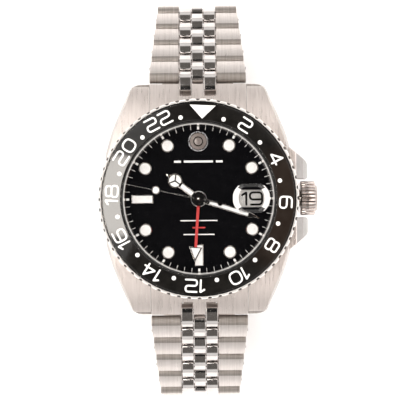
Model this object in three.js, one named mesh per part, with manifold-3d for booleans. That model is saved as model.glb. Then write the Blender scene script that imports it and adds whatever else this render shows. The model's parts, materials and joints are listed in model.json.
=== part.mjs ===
// Self-winding wristwatch with a turning 24-hour bezel, a date lens and a five-column link bracelet.
// Millimetres. +Z is the way the dial faces, +Y is towards 12 o'clock, +X is towards the crown.
// The origin is the centre of the case back's outer face, so the wrist side of the case is z = 0.
import * as THREE from 'three';
import { mergeVertices } from 'three/addons/utils/BufferGeometryUtils.js';
import Module from 'manifold-3d';

const wasm = await Module();
wasm.setup();

// ---- Driving dimensions ----
const RING_STEPS = 32; // facets round the large rings
const SMALL_STEPS = 10; // facets round wheels and hubs
const PIN_STEPS = 6; // facets round the link pins

const CASE_R = 20.0; // round middle of the case
const CASE_BOTTOM = 0.7;
const CASE_TOP = 8.5;
const BORE_R = 15.85; // bore that holds the movement, the dial and the crystal
const LUG_TIP_Y = 23.7;
const LUG_WIDTH = 20.0; // space between the lugs
const RECESS_X = 20.6; // floor of the recess between the crown guards
const NECK_R = 16.6; // upstand that the bezel turns round
const NECK_TOP = 10.3;

const BACK_R = 17.0;
const CRYSTAL_R = 15.4;
const CRYSTAL_BOTTOM = 8.85;
const CRYSTAL_TOP = 11.35;
const BEZEL_R = 20.4;
const BEZEL_NOTCHES = 60;
const INSERT_IN = 15.95; // numbered insert, which slopes down outwards
const INSERT_OUT = 19.5;

const CROWN_Z = 4.8;
const CROWN_R = 3.5;
const CROWN_BACK_X = 20.9;
const CROWN_END_X = 24.4;
const CROWN_RIDGES = 28;

const PLATE_R = 13.3; // movement
const PLATE_BOTTOM = 4.2;
const PLATE_TOP = 5.3;
const DIAL_R = 15.5;
const DIAL_BOTTOM = 5.85;
const DIAL_TOP = 6.25;
const MARKER_TOP = 6.6;
const MARKER_RING_R = 12.65; // centres of the round hour markers
const WINDOW = { x: 10.7, width: 6.4, height: 4.9 };

const PITCH = 5.0; // from one link hinge to the next
const LINK_R = 1.25; // half the thickness of a link, and the radius of its round end
const END_GAP = 0.13; // between a link's end and the round end that faces it
const CENTRE_HALF = 1.175; // half the width of the centre column
const FLANK_IN = 1.375; // the two flanking columns
const FLANK_OUT = 3.725;
const OUTER_IN = 3.925; // inner side of the outer columns
const PIN_R = 0.42;
const PIN_HOLE_R = 0.74;
const FIRST_HINGE = { y: 25.25, z: 3.4 };
const END_LINK_SLOPE = 24; // degrees that the end link's flanking pair points down
// Degrees that each row points down from the dial's plane: four rows fall away from the case, then
// the bracelet turns in under the watch and comes up flat to the clasp.
const ROW_SLOPES = [41, 41.5, 42, 43.5, 80, 96, 113, 131, 148, 161, 171];
const FIRST_ROW_WIDTH = 19.95;
const ROW_TAPER = 0.77; // each row is this much narrower than the one before
const LAST_ROW_WIDTH = 16.0;

const CLASP_HALF_WIDTH = 8.2;
const CLASP_WALL = 0.8;
const BLADE_A_HALF = 5.7;
const BLADE_B_HALF = 5.2;

const X = new THREE.Vector3(1, 0, 0);
const Y = new THREE.Vector3(0, 1, 0);
const Z = new THREE.Vector3(0, 0, 1);
const rad = THREE.MathUtils.degToRad;

// ---- Solids ----

// A closed geometry as a solid: shared vertices merged, empty triangles dropped, faces turned out.
function solidOf(geometry) {
  const bare = geometry.clone();
  for (const name of ['normal', 'uv']) bare.deleteAttribute(name);
  const merged = mergeVertices(bare, 1e-4);
  const at = merged.getAttribute('position');
  const kept = [];
  const [a, b, c] = [new THREE.Vector3(), new THREE.Vector3(), new THREE.Vector3()];
  let sixVolumes = 0;
  for (let i = 0; i < merged.index.count; i += 3) {
    const [i0, i1, i2] = [0, 1, 2].map((k) => merged.index.getX(i + k));
    if (i0 === i1 || i1 === i2 || i2 === i0) continue;
    kept.push(i0, i1, i2);
    a.fromBufferAttribute(at, i0);
    b.fromBufferAttribute(at, i1);
    c.fromBufferAttribute(at, i2);
    sixVolumes += a.dot(b.cross(c));
  }
  if (sixVolumes < 0) kept.reverse();
  const mesh = new wasm.Mesh({
    numProp: 3,
    vertProperties: new Float32Array(at.array),
    triVerts: new Uint32Array(kept),
  });
  return new wasm.Manifold(mesh);
}

function geometryOf(solid) {
  const mesh = solid.getMesh();
  const geometry = new THREE.BufferGeometry();
  geometry.setAttribute('position', new THREE.BufferAttribute(new Float32Array(mesh.vertProperties), 3));
  geometry.setIndex(new THREE.BufferAttribute(new Uint32Array(mesh.triVerts), 1));
  geometry.computeVertexNormals();
  return geometry;
}

const join = (...solids) => solids.reduce((all, next) => all.add(next));
const cut = (solid, ...tools) => tools.reduce((left, tool) => left.subtract(tool), solid);

// ---- Outlines ----

function outline(points, holes = []) {
  const shape = new THREE.Shape(points.map(([x, y]) => new THREE.Vector2(x, y)));
  for (const hole of holes) {
    shape.holes.push(new THREE.Path(hole.map(([x, y]) => new THREE.Vector2(x, y))));
  }
  return shape;
}

// Points round a centre, from one angle to another in degrees, both ends included.
function arc(cx, cy, r, from, to, steps) {
  return Array.from({ length: steps + 1 }, (_, i) => {
    const angle = rad(from + ((to - from) * i) / steps);
    return [cx + r * Math.cos(angle), cy + r * Math.sin(angle)];
  });
}

const circle = (cx, cy, r, steps) => arc(cx, cy, r, 0, 360 - 360 / steps, steps - 1);

const box2d = (x0, y0, x1, y1) => [[x0, y0], [x1, y0], [x1, y1], [x0, y1]];

// A wheel's edge that goes out and in once for each tooth.
function toothed(r, depth, teeth) {
  return Array.from({ length: teeth * 2 }, (_, i) => {
    const angle = (i * Math.PI) / teeth;
    const here = i % 2 ? r - depth : r;
    return [here * Math.cos(angle), here * Math.sin(angle)];
  });
}

// ---- Extrusions and turned parts ----

// An outline in X and Y, from z0 to z1.
function alongZ(shape, z0, z1, curveSegments = 6) {
  const geometry = new THREE.ExtrudeGeometry(shape, { depth: z1 - z0, bevelEnabled: false, curveSegments });
  return solidOf(geometry.translate(0, 0, z0));
}

// An outline whose first axis is Y and second is Z, from x0 to x1.
function alongX(shape, x0, x1, curveSegments = 6) {
  const geometry = new THREE.ExtrudeGeometry(shape, { depth: x1 - x0, bevelEnabled: false, curveSegments });
  geometry.translate(0, 0, x0).applyMatrix4(new THREE.Matrix4().makeBasis(Y, Z, X));
  return solidOf(geometry);
}

// A profile of [radius, height] points turned about Z. It is closed on itself, or ends on the axis.
function turned(profile, steps = RING_STEPS) {
  const onAxis = profile[0][0] === 0;
  const points = (onAxis ? profile : [...profile, profile[0]]).map(([r, h]) => new THREE.Vector2(r, h));
  return solidOf(new THREE.LatheGeometry(points, steps).rotateX(Math.PI / 2));
}

const ring = (rIn, rOut, z0, z1, steps) => turned([[rIn, z0], [rOut, z0], [rOut, z1], [rIn, z1]], steps);
const disc = (r, z0, z1, steps) => turned([[0, z0], [r, z0], [r, z1], [0, z1]], steps);
const rodX = (r, x0, x1, y, z, steps = SMALL_STEPS) => alongX(outline(circle(y, z, r, steps)), x0, x1);
const moved = (solid, x, y, z) => solid.translate([x, y, z]);

// ---- Materials ----

function material(color, roughness, metalness, more = {}) {
  return new THREE.MeshStandardMaterial({ color, roughness, metalness, ...more });
}

const brushedSteel = () => material(0xc9c0b8, 0.35, 1.0);
const polishedSteel = () => material(0xd8d2cc, 0.1, 1.0);
const springSteel = () => material(0x9aa0a8, 0.3, 1.0);
const blackEnamel = () => material(0x050505, 0.08, 0.0);
const ceramic = () => material(0x1c1a19, 0.12, 0.0);
const sapphire = () => material(0xffffff, 0.02, 0.0, { transparent: true, opacity: 0.25 });
const brass = () => material(0xb9944a, 0.35, 1.0);
const rhodium = () => material(0xbfc0c2, 0.3, 1.0);
const sealRubber = () => material(0x151515, 0.8, 0.0);
const redLacquer = () => material(0xe1282d, 0.4, 0.0);
const dateWhite = () => material(0xcdc8c4, 0.6, 0.0);

const watch = new THREE.Group();

function part(name, solid, look, parent = watch) {
  const mesh = new THREE.Mesh(geometryOf(solid), look());
  mesh.name = name;
  parent.add(mesh);
  return mesh;
}

// ---- Case ----

// The case seen from the dial side, from the middle of a side up to the tip of a lug. The crown side
// has a guard above the recess that the crown sits in.
const LUG_EDGE = [[17.6, 13.6], [16.2, 17.4], [15.0, 19.9], [13.6, 22.7], [12.3, LUG_TIP_Y]];
const CROWN_SIDE = [[RECESS_X, 3.9], [22.5, 3.9], [22.5, 7.0], [22.3, 7.5], [18.7, 10.2], ...LUG_EDGE];
const PLAIN_SIDE = [[19.7, 5.0], [18.8, 9.8], ...LUG_EDGE];

function caseShape() {
  const placed = (points, sx, sy) => points.map(([x, y]) => [sx * x, sy * y]);
  return outline([...placed(CROWN_SIDE, 1, 1), ...placed(PLAIN_SIDE, -1, 1).reverse(), [-CASE_R, 0],
    ...placed(PLAIN_SIDE, -1, -1), ...placed(CROWN_SIDE, 1, -1).reverse()]);
}

// Side view of the case: the lugs curve down towards the wrist.
function lugTop(inset = 0) {
  const shape = new THREE.Shape();
  const top = CASE_TOP - inset;
  shape.moveTo(-LUG_TIP_Y - 1, 4.0 - inset);
  shape.lineTo(-LUG_TIP_Y, 4.9 - inset);
  shape.quadraticCurveTo(-18.5, top, -11, top);
  shape.lineTo(11, top);
  shape.quadraticCurveTo(18.5, top, LUG_TIP_Y, 4.9 - inset);
  shape.lineTo(LUG_TIP_Y + 1, 4.0 - inset);
  return shape;
}

function caseSide() {
  const shape = lugTop();
  shape.lineTo(LUG_TIP_Y + 1, 0.3);
  shape.quadraticCurveTo(20, CASE_BOTTOM, 17.6, CASE_BOTTOM);
  shape.lineTo(-17.6, CASE_BOTTOM);
  shape.quadraticCurveTo(-20, CASE_BOTTOM, -LUG_TIP_Y - 1, 0.3);
  return shape;
}

const SPRING_BAR = { y: 20.6, z: 2.5, r: 0.75, half: 11.3 };

function caseMiddle() {
  const block = alongZ(caseShape(), 0, CASE_TOP).intersect(alongX(caseSide(), -25, 25, 4));
  const neck = ring(BORE_R, NECK_R, CASE_TOP - 1, NECK_TOP);
  const rehaut = turned([[BORE_R + 0.4, 6.4], [15.05, 6.4], [15.35, CRYSTAL_BOTTOM - 0.15],
    [BORE_R + 0.4, CRYSTAL_BOTTOM - 0.15]]);
  const bore = disc(BORE_R, -1, CASE_TOP + 1);
  const backSeat = disc(BACK_R + 0.3, -1, 1.6);
  const sealGroove = disc(16.75, 1, 2.4);
  const clickGroove = ring(16.9, 18.9, 8.0, CASE_TOP + 1);
  const round = disc(CASE_R, -2, 12);
  const betweenLugs = (side) => {
    const span = box2d(-LUG_WIDTH / 2, side * 10, LUG_WIDTH / 2, side * 30);
    return cut(alongZ(outline(span), -1, 12), round);
  };
  const barHole = (side) => rodX(SPRING_BAR.r + 0.15, -SPRING_BAR.half - 0.2, SPRING_BAR.half + 0.2,
    side * SPRING_BAR.y, SPRING_BAR.z, 8);
  const stemHole = rodX(1.75, 14, 22, 0, CROWN_Z);
  const body = cut(join(block, neck), bore, backSeat, sealGroove, clickGroove,
    betweenLugs(1), betweenLugs(-1), barHole(1), barHole(-1), stemHole);
  return join(body, rehaut);
}

part('case_middle', caseMiddle(), brushedSteel);

part('case_back', turned([[0, 0], [BACK_R - 0.5, 0], [BACK_R, 0.5], [BACK_R, 1.3], [15.6, 1.3], [15.6, 2.3],
  [14.6, 2.3], [14.6, 0.9], [0, 0.9]]), brushedSteel);

part('case_back_gasket', ring(15.75, 16.6, 1.5, 2.2), sealRubber);

// ---- Crystal and bezel ----

part('crystal', turned([[0, CRYSTAL_BOTTOM], [CRYSTAL_R, CRYSTAL_BOTTOM], [CRYSTAL_R, CRYSTAL_TOP - 0.3],
  [CRYSTAL_R - 0.3, CRYSTAL_TOP], [0, CRYSTAL_TOP]]), sapphire);

part('crystal_gasket', ring(15.5, 15.78, CRYSTAL_BOTTOM, 10.4), sealRubber);

// A small lens over the date window, glued to the crystal with a thin film's gap.
function dateLens() {
  const [w, h, corner] = [3.75, 3.0, 0.8];
  const base = [[w, -h + corner], [w, h - corner], [w - corner, h], [-w + corner, h],
    [-w, h - corner], [-w, -h + corner], [-w + corner, -h], [w - corner, -h]];
  const foot = alongZ(outline(base), CRYSTAL_TOP + 0.02, CRYSTAL_TOP + 0.5);
  const smaller = base.map(([x, y]) => [x * 0.84, y * 0.82]);
  const step = alongZ(outline(smaller), CRYSTAL_TOP + 0.4, CRYSTAL_TOP + 0.75);
  return moved(join(foot, step), WINDOW.x, 0, 0);
}
part('date_magnifier', dateLens(), sapphire);

// The turning ring has a coin edge, and a rim that holds the numbered insert.
const BEZEL_BOTTOM = CASE_TOP + 0.25;
function bezelRing() {
  const hole = circle(0, 0, NECK_R + 0.2, RING_STEPS);
  const edge = alongZ(outline(toothed(BEZEL_R, 0.3, BEZEL_NOTCHES), [hole]), BEZEL_BOTTOM, NECK_TOP);
  const rimIn = INSERT_OUT + 0.1;
  const rim = turned([[rimIn, NECK_TOP - 0.3], [20.0, NECK_TOP - 0.3], [20.0, 10.6], [19.85, 10.8],
    [rimIn, 10.8]]);
  return join(edge, rim);
}
part('bezel_ring', bezelRing(), polishedSteel);

const insertSection = [[INSERT_IN, NECK_TOP + 0.12], [INSERT_OUT, NECK_TOP + 0.12], [INSERT_OUT, 10.72],
  [INSERT_IN, 11.15]];
part('bezel_insert', turned(insertSection), ceramic);

// A flat spring under the bezel, whose three raised tongues make it click.
function clickSpring() {
  const band = outline([...arc(0, 0, 18.6, 20, 340, 16), ...arc(0, 0, 17.6, 340, 20, 16)]);
  const tongues = [80, 176, 272].map((angle) => {
    const tongue = [...arc(0, 0, 18.4, angle, angle + 8, 1), ...arc(0, 0, 17.8, angle + 8, angle, 1)];
    return alongZ(outline(tongue), 8.2, 8.6);
  });
  return join(alongZ(band, 8.1, 8.35), ...tongues);
}
part('bezel_click_spring', clickSpring(), springSteel);

// ---- Crown, its tube, the winding stem and the setting lever ----

function crownSolid() {
  const length = CROWN_END_X - CROWN_BACK_X;
  const rim = alongZ(outline(toothed(CROWN_R, 0.22, CROWN_RIDGES)), 0, length - 0.7);
  const cap = turned([[0, 2.7], [3.1, 2.7], [3.1, 3.2], [2.6, length], [0, length]], 24);
  const tubeRoom = disc(2.1, -1, 2.2, SMALL_STEPS);
  const stemSocket = disc(0.75, 2, 2.6, 8);
  return cut(join(rim, cap), tubeRoom, stemSocket);
}
const crownAxis = new THREE.Group(); // its own Z is the crown's axis
crownAxis.position.set(0, 0, CROWN_Z);
crownAxis.rotation.y = Math.PI / 2;
watch.add(crownAxis);
part('crown', crownSolid(), brushedSteel, crownAxis).position.z = CROWN_BACK_X;
part('winding_stem', disc(0.5, 9.5, 23.3, 8), springSteel, crownAxis);
part('crown_tube', ring(0.95, 1.6, 16.3, 22.0, SMALL_STEPS), polishedSteel, crownAxis);

// The setting lever travels with the stem when the crown is pulled.
const LEVER = { x0: 9.7, x1: 11.1, y0: -3.2, y1: -0.7, z0: 4.45, z1: 5.1 };
const leverOutline = outline(box2d(LEVER.x0, LEVER.y0, LEVER.x1, LEVER.y1));
part('setting_lever', alongZ(leverOutline, LEVER.z0, LEVER.z1), springSteel);

// ---- Movement ----

const STEM_SLOT = alongZ(outline(box2d(9.2, -0.95, 17, 0.95)), 3, 6);

const stemHole = rodX(0.9, 12, 17, 0, CROWN_Z, 8);
part('movement_holder', cut(ring(PLATE_R + 0.3, 15.6, 2.7, PLATE_TOP), stemHole), rhodium);

function mainplate() {
  const leverSlot = alongZ(outline(box2d(LEVER.x0 - 0.4, LEVER.y0 - 0.4, 17, 0)), 3, 6);
  return cut(disc(PLATE_R, PLATE_BOTTOM, PLATE_TOP), STEM_SLOT, leverSlot, disc(0.85, 3, 6, 8));
}
part('mainplate', mainplate(), rhodium);

// Bridges on the wrist side, each with feet that reach up to the mainplate.
function bridge(shape, feet) {
  const footZ = PLATE_BOTTOM - 0.02;
  const posts = feet.map(([x, y]) => alongZ(outline(circle(x, y, 0.8, 8)), 2.4, footZ));
  return join(alongZ(shape, 2.05, 2.75), ...posts);
}
part('train_bridge', bridge(outline([...arc(0, 0, 12.9, -8, 188, 12), [-3, -1.8], [3, -1.8]]),
  [[9.9, 6.8], [0, 9.6], [-11.6, -1.0]]), rhodium);
const cockOutline = outline([...arc(0, 0, 12.9, -84, -24, 8), [3.4, -4.4]]);
part('balance_cock', bridge(cockOutline, [[11.0, -5.4]]), rhodium);

// A wheel on its staff. The staff ends short of the plates, so it turns freely.
function wheel(r, teeth, z0, z1, staffZ0, staffZ1, staff = 0.3) {
  return join(alongZ(outline(toothed(r, 0.25, teeth)), z0, z1), disc(staff, staffZ0, staffZ1, 8));
}
const WHEELS = {
  mainspring_barrel: {
    at: [-7.3, 4.3],
    solid: () => join(disc(4.0, 3.0, 4.0, 20), disc(0.7, 2.85, 4.1, 8)),
  },
  third_wheel: { at: [4.7, 4.6], solid: () => wheel(2.4, 14, 3.5, 3.75, 2.85, 4.1) },
  escape_wheel: { at: [-2.3, -7.0], solid: () => wheel(1.9, 15, 3.3, 3.5, 2.85, 4.1) },
  balance_wheel: {
    at: [5.0, -7.6],
    solid: () => {
      const spoke = alongZ(outline(box2d(-3.1, -0.25, 3.1, 0.25)), 3.2, 3.5);
      return join(ring(2.9, 3.4, 3.1, 3.6, 14), spoke, disc(0.3, 2.85, 4.1, 8));
    },
  },
};
for (const [name, { at, solid }] of Object.entries(WHEELS)) {
  part(name, solid(), brass).position.set(...at, 0);
}
// The centre wheel's cannon pipe is hollow, and the seconds staff runs through it.
const centreWheel = cut(wheel(3.4, 18, 3.75, 3.95, 3.65, 5.25, 0.62), disc(0.4, 3, 6, 8));
part('center_wheel', centreWheel, brass);
part('seconds_wheel', wheel(2.4, 14, 3.1, 3.3, 2.85, 5.3, 0.22), brass);

// A half-round winding mass on a hub between the movement and the case back.
function rotor() {
  const half = outline([...arc(0, 0, 12.8, 180, 360, 12), [1.6, 0.8], [-1.6, 0.8]]);
  const rim = outline([...arc(0, 0, 12.8, 183, 357, 12), ...arc(0, 0, 10.6, 357, 183, 12)]);
  return join(alongZ(half, 1.25, 1.65), alongZ(rim, 1.1, 1.85), disc(1.8, 1.2, 1.9, SMALL_STEPS));
}
part('winding_rotor', rotor(), rhodium);

part('date_disc', ring(7.3, 14.1, 5.5, 5.7), dateWhite);

// ---- Dial and hands ----

function dial() {
  const window = box2d(WINDOW.x - WINDOW.width / 2, -WINDOW.height / 2,
    WINDOW.x + WINDOW.width / 2, WINDOW.height / 2);
  const markers = [];
  for (const hour of [1, 2, 4, 5, 7, 8, 10, 11]) {
    const angle = rad(90 - hour * 30);
    const [x, y] = [MARKER_RING_R * Math.cos(angle), MARKER_RING_R * Math.sin(angle)];
    markers.push(moved(disc(1.28, DIAL_TOP - 0.1, MARKER_TOP, SMALL_STEPS), x, y, 0));
  }
  const bars = [box2d(-13.84, -0.87, -9.47, 0.87), box2d(-0.87, -13.84, 0.87, -9.47)];
  for (const bar of bars) markers.push(alongZ(outline(bar), DIAL_TOP - 0.1, MARKER_TOP));
  const plainDisc = moved(disc(2.05, DIAL_TOP - 0.1, MARKER_TOP, 16), 0, 11.85, 0);
  const plate = cut(disc(DIAL_R, DIAL_BOTTOM, DIAL_TOP), disc(1.65, 5, 7, SMALL_STEPS),
    alongZ(outline(window), 5, 7));
  return join(plate, ...markers, plainDisc);
}
part('dial', dial(), blackEnamel);

// Each hand is drawn pointing to 12 and turned clockwise to its place. The pipes run down round one
// another, so they turn freely.
const PIPE_BOTTOM = 5.45;
const HANDS = {
  gmt_hand: { angle: 184, z0: 6.72, z1: 6.9, hubR: 1.6, pipeIn: 1.12, pipeOut: 1.45 },
  hour_hand: { angle: 308, z0: 7.12, z1: 7.3, hubR: 1.5, pipeIn: 0.72, pipeOut: 1.0 },
  minute_hand: { angle: 108, z0: 7.52, z1: 7.7, hubR: 1.3, pipeIn: 0.36, pipeOut: 0.6 },
  seconds_hand: { angle: 282, z0: 7.95, z1: 8.1, hubR: 1.0, pipeIn: 0, pipeOut: 0.22 },
};
function hand(name, look, blades) {
  const { angle, z0, z1, hubR, pipeIn, pipeOut } = HANDS[name];
  const pipe = disc(pipeOut, PIPE_BOTTOM, (z0 + z1) / 2, 8);
  const solid = join(disc(hubR, z0, z1, SMALL_STEPS), pipe, ...blades.map((blade) => alongZ(blade, z0, z1)));
  const bored = pipeIn ? cut(solid, disc(pipeIn, 5, z1 + 1, 8)) : solid;
  part(name, bored, look).rotation.z = rad(-angle);
}

const arrow = [[-0.28, 0], [0.28, 0], [0.28, 9.9], [1.36, 9.9], [0, 13.05], [-1.36, 9.9], [-0.28, 9.9]];
hand('gmt_hand', redLacquer, [outline(arrow)]);

// The hour hand has a lume bar, then a round plate, then a short point.
const hourStem = [[-0.62, 5.0], [-0.62, 0], [0.62, 0], [0.62, 5.0]];
const hourPoint = [[0.35, 7.5], [0, 8.5], [-0.35, 7.5]];
const hourPlate = { y: 6.1, r: 1.45 };
hand('hour_hand', polishedSteel, [outline([...hourStem, ...arc(0, hourPlate.y, hourPlate.r, -50, 70, 6),
  ...hourPoint, ...arc(0, hourPlate.y, hourPlate.r, 110, 230, 6)])]);

hand('minute_hand', polishedSteel,
  [outline([[-0.62, 0], [0.62, 0], [0.6, 10.9], [0, 13.0], [-0.6, 10.9]])]);

const needle = outline([[-0.2, -4.1], [0.2, -4.1], [0.12, 14.4], [-0.12, 14.4]]);
const needleDisc = outline(circle(0, 8.95, 0.84, SMALL_STEPS));
const counterweight = outline(circle(0, -4.5, 0.5, 8));
hand('seconds_hand', polishedSteel, [needle, needleDisc, counterweight]);

// ---- Bracelet ----
// In a link's own frame Y runs along the bracelet away from the case, Z faces out, and the hinge
// that joins the link to the one before it lies on X at the origin.

// Side view of a link that is round about its own hinge and square at its far end.
function nearRoundLink(length) {
  return outline([...arc(0, 0, LINK_R, 90, 270, 3), [length, -LINK_R + 0.1], [length, LINK_R - 0.4],
    [length - 0.5, LINK_R]]);
}

// Side view of a flanking link, round about the next hinge, with that hinge's hole.
function farRoundLink(start, end) {
  const hole = circle(end, 0, PIN_HOLE_R, PIN_STEPS);
  return outline([[start, LINK_R - 0.4], [start, -LINK_R + 0.1], ...arc(end, 0, LINK_R, -90, 90, 3),
    [start + 0.5, LINK_R]], [hole]);
}

const LINK_LENGTH = PITCH - LINK_R - END_GAP;
const FLANK_START = LINK_R + END_GAP;
const pin = (y, half) => rodX(PIN_R, -half, half, y, 0, PIN_STEPS);
const bothSides = (make) => [make(-1), make(1)];
const span = (side, from, to) => (side < 0 ? [-to, -from] : [from, to]);

function flanks(start, end) {
  return bothSides((side) => alongX(farRoundLink(start, end), ...span(side, FLANK_IN, FLANK_OUT)));
}

// One row: two outer links and a centre link on this hinge, and two flanking links that reach to
// the next, all held by a hinge pin and a link pin.
function row(width) {
  const near = nearRoundLink(LINK_LENGTH);
  const outers = bothSides((side) => alongX(near, ...span(side, OUTER_IN, width / 2)));
  return join(...outers, alongX(near, -CENTRE_HALF, CENTRE_HALF), ...flanks(FLANK_START, PITCH),
    pin(0, OUTER_IN + 0.5), pin(PITCH / 2, OUTER_IN + 0.5));
}

// The end link fills the space between the lugs, and carries the first flanking pair.
function endLink() {
  const half = LUG_WIDTH / 2 - 0.15;
  const front = FIRST_HINGE.y - LINK_R - END_GAP - 0.1;
  const between = alongZ(outline(box2d(-half, 12, half, front)), 1.4, CASE_TOP);
  const notches = bothSides((side) => {
    const [x0, x1] = span(side, FLANK_IN - 0.15, FLANK_OUT + 0.15);
    return alongZ(outline(box2d(x0, 21.2, x1, 30)), 0, 12);
  });
  const under = lugTop(0.15);
  under.lineTo(LUG_TIP_Y + 1, 0);
  under.lineTo(-LUG_TIP_Y - 1, 0);
  const barHole = rodX(SPRING_BAR.r + 0.15, -11, 11, SPRING_BAR.y, SPRING_BAR.z, 8);
  const filled = between.intersect(alongX(under, -12, 12, 4));
  const block = cut(filled, disc(CASE_R + 0.3, -2, 12), barHole, ...notches);
  const turn = (solid) => {
    return solid.rotate([-END_LINK_SLOPE, 0, 0]).translate([0, FIRST_HINGE.y, FIRST_HINGE.z]);
  };
  return join(block, ...flanks(-LINK_LENGTH, 0).map(turn), turn(pin(-PITCH / 2, OUTER_IN + 0.5)));
}

// Places a link's frame at a hinge of the loop, pointing down by the slope in degrees.
function placeAt(mesh, hinge, slope) {
  mesh.position.set(0, hinge.y, hinge.z);
  mesh.rotation.x = -rad(slope);
}

const nextHinge = (hinge, slope) => ({
  y: hinge.y + PITCH * Math.cos(rad(slope)),
  z: hinge.z - PITCH * Math.sin(rad(slope)),
});

// Builds one half of the bracelet and returns its last hinge.
function braceletHalf(label, half) {
  part(`end_link_${label}`, endLink(), brushedSteel, half);
  const { r, y, z, half: barHalf } = SPRING_BAR;
  part(`spring_bar_${label}`, rodX(r, -barHalf, barHalf, y, z, 8), springSteel, half);
  let hinge = FIRST_HINGE;
  ROW_SLOPES.forEach((slope, i) => {
    const width = Math.max(LAST_ROW_WIDTH, FIRST_ROW_WIDTH - ROW_TAPER * i);
    const number = String(i + 1).padStart(2, '0');
    placeAt(part(`bracelet_${label}_row_${number}`, row(width), brushedSteel, half), hinge, slope);
    hinge = nextHinge(hinge, slope);
  });
  return hinge;
}

const twelveHalf = new THREE.Group();
const sixHalf = new THREE.Group();
sixHalf.rotation.z = Math.PI;
watch.add(twelveHalf, sixHalf);
braceletHalf('12', twelveHalf);
const claspHinge = braceletHalf('6', sixHalf);

// ---- Clasp ----
// Its frame continues the 6 o'clock half: Y runs along the clasp to the 12 o'clock half, Z faces
// away from the wrist, and the origin is the hinge on the last 6 o'clock row.

const CLASP_LENGTH = 2 * claspHinge.y; // between the two bracelet hinges
const CLASP_TOP = 2.3;
const COVER_START = LINK_R + 0.45;
const COVER_END = CLASP_LENGTH - LINK_R - 0.55;
const WALL_LOW = -1.75;
const BLADE_A_PIVOT = { y: CLASP_LENGTH - 4.4, z: 0.2 };
const BLADE_B_PIVOT = { y: 5.6, z: -0.4 };
const BLADE_PIN_R = 0.5;
const BLADE_HOLE_R = 0.75;
const KNUCKLE_R = 0.95;
const FLAP_PIVOT = { y: 15.0, z: 3.0 };

const clasp = new THREE.Group();
clasp.position.set(0, claspHinge.y, claspHinge.z);
clasp.rotation.x = Math.PI;
sixHalf.add(clasp);

function claspCover() {
  const plate = alongX(outline([[COVER_START, 1.5], [COVER_END, 1.5], [COVER_END, CLASP_TOP - 0.3],
    [COVER_END - 0.5, CLASP_TOP], [COVER_START + 0.5, CLASP_TOP], [COVER_START, CLASP_TOP - 0.3]]),
  -CLASP_HALF_WIDTH, CLASP_HALF_WIDTH);
  const wallSide = outline([[COVER_START, 0], [COVER_START + 1, WALL_LOW], [COVER_END - 1, WALL_LOW],
    [COVER_END, 0], [COVER_END, 1.8], [COVER_START, 1.8]]);
  const wallIn = CLASP_HALF_WIDTH - CLASP_WALL;
  const walls = bothSides((side) => alongX(wallSide, ...span(side, wallIn, CLASP_HALF_WIDTH)));
  const knuckle = outline([...arc(0, 0, LINK_R, 90, 270, 3), [COVER_START + 0.8, -LINK_R],
    [COVER_START + 0.8, 1.7], [COVER_START, 1.7]]);
  const knuckles = bothSides((side) => alongX(knuckle, ...span(side, OUTER_IN, LAST_ROW_WIDTH / 2)));
  const farEnd = CLASP_LENGTH + LINK_R - 0.2;
  const farKnuckle = outline([[COVER_END - 0.8, -LINK_R], [farEnd - 0.4, -LINK_R], [farEnd, -LINK_R + 0.4],
    [farEnd, LINK_R - 0.4], [farEnd - 0.4, LINK_R], [COVER_END, 1.7], [COVER_END - 0.8, 1.7]]);
  const farKnuckles = bothSides((side) => {
    return alongX(farKnuckle, ...span(side, OUTER_IN + 2.0, LAST_ROW_WIDTH / 2));
  });
  const bladePin = rodX(BLADE_PIN_R, -CLASP_HALF_WIDTH + 0.3, CLASP_HALF_WIDTH - 0.3,
    BLADE_A_PIVOT.y, BLADE_A_PIVOT.z, 8);
  const ear = outline([[FLAP_PIVOT.y - 0.6, 2.0], [FLAP_PIVOT.y + 0.6, 2.0], [FLAP_PIVOT.y + 0.5, 3.4],
    [FLAP_PIVOT.y - 0.5, 3.4]]);
  const ears = bothSides((side) => alongX(ear, ...span(side, 6.6, 7.4)));
  const flapPin = rodX(0.28, -7, 7, FLAP_PIVOT.y, FLAP_PIVOT.z, PIN_STEPS);
  const middleKnuckle = alongX(knuckle, -CENTRE_HALF, CENTRE_HALF);
  return join(plate, ...walls, ...knuckles, middleKnuckle, pin(0, OUTER_IN + 0.5), ...farKnuckles, bladePin,
    ...ears, flapPin);
}
part('clasp_cover', claspCover(), brushedSteel, clasp);

// The lid that locks the cover, hinged on the ears.
function safetyFlap() {
  const { y, z } = FLAP_PIVOT;
  const side = outline([[y - 0.2, z - 0.55], [y + 0.45, z - 0.3], [y + 0.45, z + 0.3], [y, z + 0.55],
    [4.2, z + 0.2], [3.2, z - 0.2], [3.2, z - 0.5], [y - 1.2, z - 0.5]], [circle(y, z, 0.4, PIN_STEPS)]);
  return alongX(side, -6.4, 6.4);
}
part('clasp_safety_flap', safetyFlap(), brushedSteel, clasp);

// The two blades lie folded inside the cover, and open out in line with it.
function bladeA() {
  const [a, b] = [BLADE_A_PIVOT, BLADE_B_PIVOT];
  const plate = alongX(outline([[b.y + 0.6, -0.1], [a.y - 0.7, -0.1], [a.y - 0.7, 0.5], [b.y + 0.6, 0.5]]),
    -BLADE_A_HALF, BLADE_A_HALF);
  const hubA = alongX(outline(circle(a.y, a.z, KNUCKLE_R, 8)), -BLADE_A_HALF, BLADE_A_HALF);
  const eye = outline(circle(b.y, b.z, KNUCKLE_R, 8));
  const hubs = bothSides((side) => alongX(eye, ...span(side, 3.4, BLADE_A_HALF)));
  const slot = alongZ(outline(box2d(-3.4, b.y - 1.5, 3.4, b.y + 1.3)), -2, 2);
  return cut(join(cut(plate, slot), hubA, ...hubs),
    rodX(BLADE_HOLE_R, -9, 9, a.y, a.z, 8), rodX(BLADE_HOLE_R, -9, 9, b.y, b.z, 8));
}
part('clasp_blade_a', bladeA(), polishedSteel, clasp);

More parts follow.
